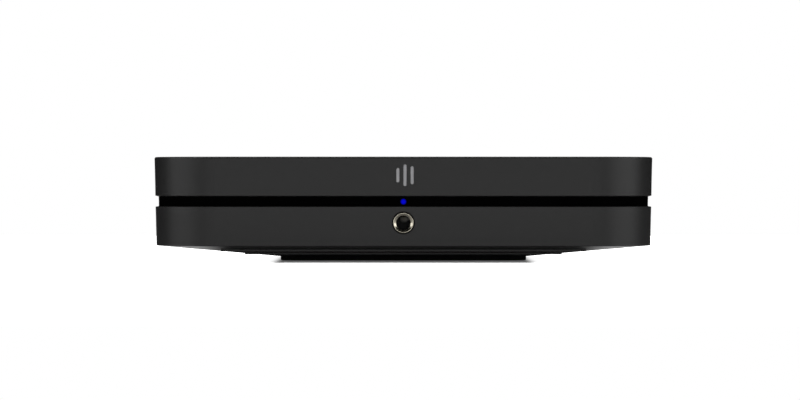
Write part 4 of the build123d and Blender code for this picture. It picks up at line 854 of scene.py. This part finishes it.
dress(make_bore_finish(), "headphone_socket")

# Foot: a pad of soft black rubber glued into a shallow recess of the underside. Its skin has
# fine straight ribs that stop it from sliding.
rubber_black = (0.0014, 0.0014, 0.0014)
# Painted shade: the grooves between the ribs are coloured darker than the ribs.
rubber_groove_painted_shade = (0.0009, 0.0009, 0.0009)
rib_pitch = 1.0 * MM
rib_depth = 0.15 * MM
dress(lined(
    "foot_rubber", rubber_black, rubber_groove_painted_shade, rib_pitch, rib_depth, shine=0.78,
    Specular_IOR_Level=0.08,
), "foot_pad")

# Rear panel: two plates of black-painted steel in a moulded rim, screwed to the sockets. The
# paint has a fine wrinkle, and plain white numbers are printed over and between the sockets.
number_height = 2.0 * MM
digit_share = 0.7
number_lift = 0.03 * MM
number_gap = 1.6 * MM
mini_pitch = 9.0 * MM
phono_row_reach = 8.9 * MM
number_white = (0.6, 0.6, 0.58)
number_white_cloud = (0.5, 0.5, 0.48)
panel_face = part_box("rear_panel")[1][1]
panel_black = (0.014, 0.014, 0.0145)
panel_cloud = (0.018, 0.018, 0.0185)
dress(grained(
    "panel_black", panel_black, panel_cloud, shine=0.5, pebble=1500, depth=0.03 * MM,
), "rear_panel", "audio_panel", "bay_rim")


def number_spots():
    """Places of the numbers on the panel: over each socket, and between the phono columns."""
    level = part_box("network_socket")[1][2] + number_gap
    spots = [(middle_of(name)[0], level) for name in
             ("mains_inlet", "network_socket", "usb_socket", "av_socket", "optical_socket")]
    mini_middle = middle_of("mini_sockets")[0]
    mini_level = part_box("mini_sockets")[1][2] + number_gap
    spots += [(mini_middle - step * mini_pitch, mini_level) for step in (-1, 0, 1)]
    phono = middle_of("phono_shells")
    return spots + [(phono[0], phono[2] + phono_row_reach), (phono[0], phono[2] - phono_row_reach)]


def make_numbers():
    """Plain numbers printed on the rear panel, each a filled outline with a little height.
    Its flat drawing is turned so that its left side lies towards plus x and it faces back.
    A digit is as high as digit_share of the font's size."""
    parts = []
    for number, (x, z) in enumerate(number_spots(), 1):
        curve = bpy.data.curves.new("number", "FONT")
        curve.body = str(number)
        curve.size = number_height / digit_share
        curve.extrude = number_lift
        curve.align_x = "CENTER"
        curve.align_y = "CENTER"
        drawing = bpy.data.objects.new("number", curve)
        mesh = bpy.data.meshes.new_from_object(drawing)
        flat = np.empty(len(mesh.vertices) * 3, np.float32)
        mesh.vertices.foreach_get("co", flat)
        faces = [list(face.vertices) for face in mesh.polygons]
        points = flat.reshape(-1, 3)[:, [0, 2, 1]] * np.array([-1, 1, 1])
        parts.append((points, faces, (x, panel_face, z)))
        bpy.data.objects.remove(drawing)
        bpy.data.meshes.remove(mesh)
        bpy.data.curves.remove(curve)
    ink = grained(
        "white_ink", number_white, number_white_cloud, shine=0.5, pebble=6000, depth=0.004 * MM,
    )
    make_piece("socket_numbers", *gathered(parts), ink, "core_white")


make_numbers()

# Sockets: folded shells of tinned steel round black moulded tongues, or black moulded bodies
# alone. Gold strips lie on the tongues, and two small lamps sit over the network socket's
# mouth. The shield can and the wireless module have the same tinned steel.
strip_height = 0.06 * MM
strip_bump = 0.16 * MM
strip_bump_place = 0.75
strip_bump_reach = 0.1
strip_end_gap = 0.6 * MM
usb_tongue_thickness = 1.8 * MM
usb_tongue_reach = 5.05 * MM
usb_strip_length = 7.6 * MM
usb_strip_width = 1.0 * MM
usb_strip_places = (-3.5 * MM, -1.0 * MM, 1.0 * MM, 3.5 * MM)
av_tongue_thickness = 1.1 * MM
av_tongue_reach = 4.5 * MM
av_strip_length = 6.6 * MM
av_strip_width = 0.5 * MM
av_strip_pitch = 1.0 * MM
av_strip_counts = (9, 10)
lamp_length = 2.6 * MM
lamp_width = 1.5 * MM
lamp_height = 0.5 * MM
lamp_reach = 4.6 * MM
lamp_drop = 1.5 * MM
lamp_green = (0.05, 0.22, 0.05)
lamp_amber = (0.4, 0.18, 0.02)
lamp_cloud_share = 0.8
network_mouth = (11.8 * MM, 10.0 * MM)
network_mouth_level = 16.4 * MM
mouth_skin = 0.15 * MM
network_steel = (0.56, 0.56, 0.55)
network_tarnish = (0.46, 0.46, 0.44)
mouth_shine = 0.5
tinned_steel = (0.6, 0.6, 0.59)
tinned_tarnish = (0.5, 0.5, 0.48)
socket_black = (0.012, 0.012, 0.012)
socket_cloud = (0.016, 0.016, 0.016)
dress(metal(
    "tinned_steel", tinned_steel, tinned_tarnish, shine=0.28, stretch=(0.05, 1, 1), lines=2500,
), "shield_can", "usb_socket", "av_socket", "wireless_module")
dress(
    grained("socket_black", socket_black, socket_cloud, shine=0.45, pebble=3500, depth=0.01 * MM),
    "socket_tongues", "socket_stands", "mains_inlet", "optical_socket", "mini_sockets",
    "phono_blocks",
)


def make_network_finish():
    """Tinned steel outside and black plastic in the mouth, which is told by its box: inside
    the mouth's width and height, and further in than the steel is thick."""
    middle = middle_of("network_socket")[0]
    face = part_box("network_socket")[1][1]
    width, height = network_mouth
    material, tree, shader = new_finish("network_shell")
    axes = places(tree)[1]
    inside = ranged(tree, axes["Y"], face - 2 * mouth_skin, face - mouth_skin, 1.0, 0.0)
    for axis, centre, size in (("X", middle, width), ("Z", network_mouth_level, height)):
        for side in (-1, 1):
            edge = centre + side * (size / 2 + mouth_skin)
            within = ranged(tree, axes[axis], edge - mouth_skin / 2, edge + mouth_skin / 2,
                            (1 + side) / 2, (1 - side) / 2)
            inside = joined(tree, "MULTIPLY", inside, within)
    skin = tree.nodes.new("ShaderNodeGroup")
    skin.node_tree = brushed_group
    for label, value in (("Color", network_steel), ("Tarnish Color", network_tarnish)):
        skin.inputs[label].default_value = value + (1,)
    color = blended(tree, inside, skin.outputs["Color"], socket_black)
    tree.links.new(color, shader.inputs["Base Color"])
    tree.links.new(ranged(tree, inside, 0.0, 1.0, 1.0, 0.0), shader.inputs["Metallic"])
    shine = ranged(tree, inside, 0.0, 1.0, skin.outputs["Roughness"], mouth_shine)
    tree.links.new(shine, shader.inputs["Roughness"])
    tree.links.new(skin.outputs["Normal"], shader.inputs["Normal"])
    return material


dress(make_network_finish(), "network_socket")


def contact_strip(width, length, side, steps=10, rings=24):
    """Thin strip along y that ends at zero. Across it is a flat ellipse, and near its end it
    rises in a bell curve where the plug touches; side is 1 for over a tongue and -1 for under.
    Its rings run the other way than a block's, so its faces are turned to point outwards."""
    turn = np.linspace(0, 2 * pi, steps, endpoint=False)
    share = np.linspace(0, 1, rings)[:, None]
    rise = strip_bump * np.exp(-((share - strip_bump_place) / strip_bump_reach) ** 2)
    points = np.stack([
        np.broadcast_to(np.cos(turn) * width / 2, (rings, steps)),
        np.broadcast_to((share - 1) * length, (rings, steps)),
        np.sin(turn) * strip_height + side * rise,
    ], axis=-1)
    return points.reshape(-1, 3), [face[::-1] for face in ring_faces(rings, steps)]


def make_tongue_strips():
    """Gold strips of the two tongues: four under the wide one, and rows of ten and nine over
    and under the other."""
    tongue_low, tongue_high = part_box("socket_tongues")
    usb_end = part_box("usb_socket")[1][1] - usb_tongue_reach - strip_end_gap
    under = contact_strip(usb_strip_width, usb_strip_length, -1)
    usb_middle = middle_of("usb_socket")[0]
    usb_level = tongue_high[2] - usb_tongue_thickness
    parts = [under + ((usb_middle + place, usb_end, usb_level),) for place in usb_strip_places]
    av_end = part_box("av_socket")[1][1] - av_tongue_reach - strip_end_gap
    av_levels = (tongue_low[2], tongue_low[2] + av_tongue_thickness)
    for count, level, side in zip(av_strip_counts, av_levels, (-1, 1)):
        strip = contact_strip(av_strip_width, av_strip_length, side)
        first = middle_of("av_socket")[0] - (count - 1) / 2 * av_strip_pitch
        places = [first + index * av_strip_pitch for index in range(count)]
        parts += [strip + ((place, av_end, level),) for place in places]
    make_piece("tongue_strips", *gathered(parts), gold_flash, "contact_gold")


def make_network_lamps():
    """Two small lamps over the mouth of the network socket, each a soft-cornered lens whose
    rounded top is turned to the rear."""
    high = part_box("network_socket")[1]
    points, faces = rounded_block(lamp_length, lamp_width, lamp_height)
    turned = points[:, [0, 2, 1]] * np.array([-1, 1, 1])
    for name, side, color in (("green", 1, lamp_green), ("amber", -1, lamp_amber)):
        place = (middle_of("network_socket")[0] + side * lamp_reach, high[1] - lamp_height / 2,
                 high[2] - lamp_drop)
        cloud = tuple(lamp_cloud_share * part for part in color)
        finish = grained(
            "network_lamp_" + name, color, cloud, shine=0.25, pebble=1200, depth=0.01 * MM,
        )
        make_piece("network_lamp_" + name, turned + np.array(place), faces, finish, "lamp_clear")


make_tongue_strips()
make_network_lamps()

# Optical socket's shutter: a flap of grey plastic that a spring holds over the mouth. The
# plug pushes it up and in.
shutter_grey = (0.03, 0.03, 0.032)
shutter_cloud = (0.035, 0.035, 0.037)
dress(grained("shutter_grey", shutter_grey, shutter_cloud, shine=0.45), "optical_shutter")

# Phono sockets: nickel-plated shells pressed into black blocks, round plastic cores. The
# right channel's cores are red and the left channel's are white.
shell_nickel = (0.62, 0.6, 0.55)
shell_tarnish = (0.52, 0.49, 0.43)
core_white = (0.62, 0.62, 0.6)
core_red = (0.36, 0.01, 0.01)
core_cloud_scale = 500.0
core_shine = (0.3, 0.45)
dress(metal(
    "shell_nickel", shell_nickel, shell_tarnish, shine=0.2, stretch=(1, 0.05, 1),
), "phono_shells", "mains_pins")


def make_core_finish():
    """Plastic of the phono cores, whose colour changes halfway between the two columns."""
    material, tree, shader = new_finish("core_colors", Specular_IOR_Level=0.4)
    place, axes = places(tree)
    middle = middle_of("phono_cores")[0]
    red_share = ranged(tree, axes["X"], middle - MM, middle + MM, 0.0, 1.0)
    cloud = noise(tree, place, core_cloud_scale, detail=3.0)
    tree.links.new(blended(tree, red_share, core_white, core_red), shader.inputs["Base Color"])
    tree.links.new(ranged(tree, cloud, *noise_band, *core_shine), shader.inputs["Roughness"])
    moulded = bumped(tree, cloud, strength=0.3, depth=0.03 * MM)
    tree.links.new(moulded, shader.inputs["Normal"])
    return material


dress(make_core_finish(), "phono_cores")

# Fasteners: zinc-plated steel inside and below, black-oxidised steel on the rear, and
# threaded brass inserts in the bosses of the cover.
zinc = (0.58, 0.58, 0.6)
zinc_tarnish = (0.45, 0.46, 0.5)
oxide_black = (0.03, 0.03, 0.032)
oxide_worn = (0.05, 0.048, 0.045)
brass = (0.7, 0.5, 0.2)
brass_tarnish = (0.5, 0.33, 0.13)
dress(metal("zinc_plate", zinc, zinc_tarnish, shine=0.3), "case_screws", "board_screws")
dress(metal("black_oxide", oxide_black, oxide_worn, shine=0.4), "panel_screws")
dress(metal("brass_insert", brass, brass_tarnish, shine=0.3), "cover_inserts")

# Cooling: a sink of sawn aluminium profile on a soft pad over the processor, and a bent
# aluminium plate on the power board. Both keep the drawing lines of the metal.
sink_aluminium = (0.6, 0.6, 0.61)
sink_tarnish = (0.52, 0.52, 0.53)
pad_blue = (0.25, 0.28, 0.32)
pad_cloud = (0.22, 0.25, 0.29)
dress(metal(
    "extruded_aluminium", sink_aluminium, sink_tarnish, shine=0.35, stretch=(1, 0.04, 1),
), "heat_sink", "power_heat_sink")
dress(grained("thermal_pad", pad_blue, pad_cloud, shine=0.8), "thermal_pad")

# Aerials: thin films stuck behind the front corners, with grey coaxial leads to the
# wireless module.
film_black = (0.015, 0.015, 0.018)
film_cloud = (0.02, 0.02, 0.022)
lead_grey = (0.06, 0.06, 0.062)
lead_cloud = (0.07, 0.07, 0.07)
dress(grained("aerial_film", film_black, film_cloud, shine=0.4), "aerials")
dress(grained("lead_grey", lead_grey, lead_cloud, shine=0.5), "aerial_leads")

# Capacitors: aluminium cans, bare on the main board and in dark blue shrink sleeves on the
# power board.
can_aluminium = (0.62, 0.62, 0.63)
can_tarnish = (0.55, 0.55, 0.56)
sleeve_blue = (0.008, 0.012, 0.04)
sleeve_cloud = (0.01, 0.015, 0.05)
dress(metal("drawn_aluminium", can_aluminium, can_tarnish, shine=0.25), "board_capacitors")
dress(grained(
    "can_sleeve", sleeve_blue, sleeve_cloud, shine=0.3,
), "bulk_capacitor", "output_capacitors")

# Power supply: a transformer with a yellow taped coil in a ferrite core, a choke wound with
# enamelled copper, a yellow filter block, and a red pair of leads to the main board.
winding_turn = (0, pi / 2, 0)
tape_pitch = 2.0 * MM
tape_depth = 0.1 * MM
tape_yellow = (0.6, 0.42, 0.05)
tape_edge = (0.5, 0.33, 0.03)
wire_pitch = 0.75 * MM
wire_depth = 0.2 * MM
wire_copper = (0.42, 0.15, 0.05)
# Painted shade: the gaps between the turns of wire are coloured darker than the copper.
wire_gap_painted_shade = (0.2, 0.06, 0.02)
ferrite_grey = (0.03, 0.03, 0.032)
ferrite_cloud = (0.04, 0.04, 0.041)
filter_yellow = (0.55, 0.38, 0.03)
filter_cloud = (0.5, 0.34, 0.03)
wire_red = (0.35, 0.02, 0.015)
wire_red_cloud = (0.3, 0.015, 0.012)
dress(grained("ferrite", ferrite_grey, ferrite_cloud, shine=0.6, pebble=1800), "transformer_core")
dress(lined(
    "winding_tape", tape_yellow, tape_edge, tape_pitch, tape_depth, shine=0.3, turn=winding_turn,
), "transformer_coil")
dress(lined(
    "choke_wire", wire_copper, wire_gap_painted_shade, wire_pitch, wire_depth, shine=0.25, turn=winding_turn,
), "mains_choke")
dress(grained("filter_yellow", filter_yellow, filter_cloud, shine=0.3), "mains_filter")
dress(grained("wire_red", wire_red, wire_red_cloud, shine=0.4), "power_harness")
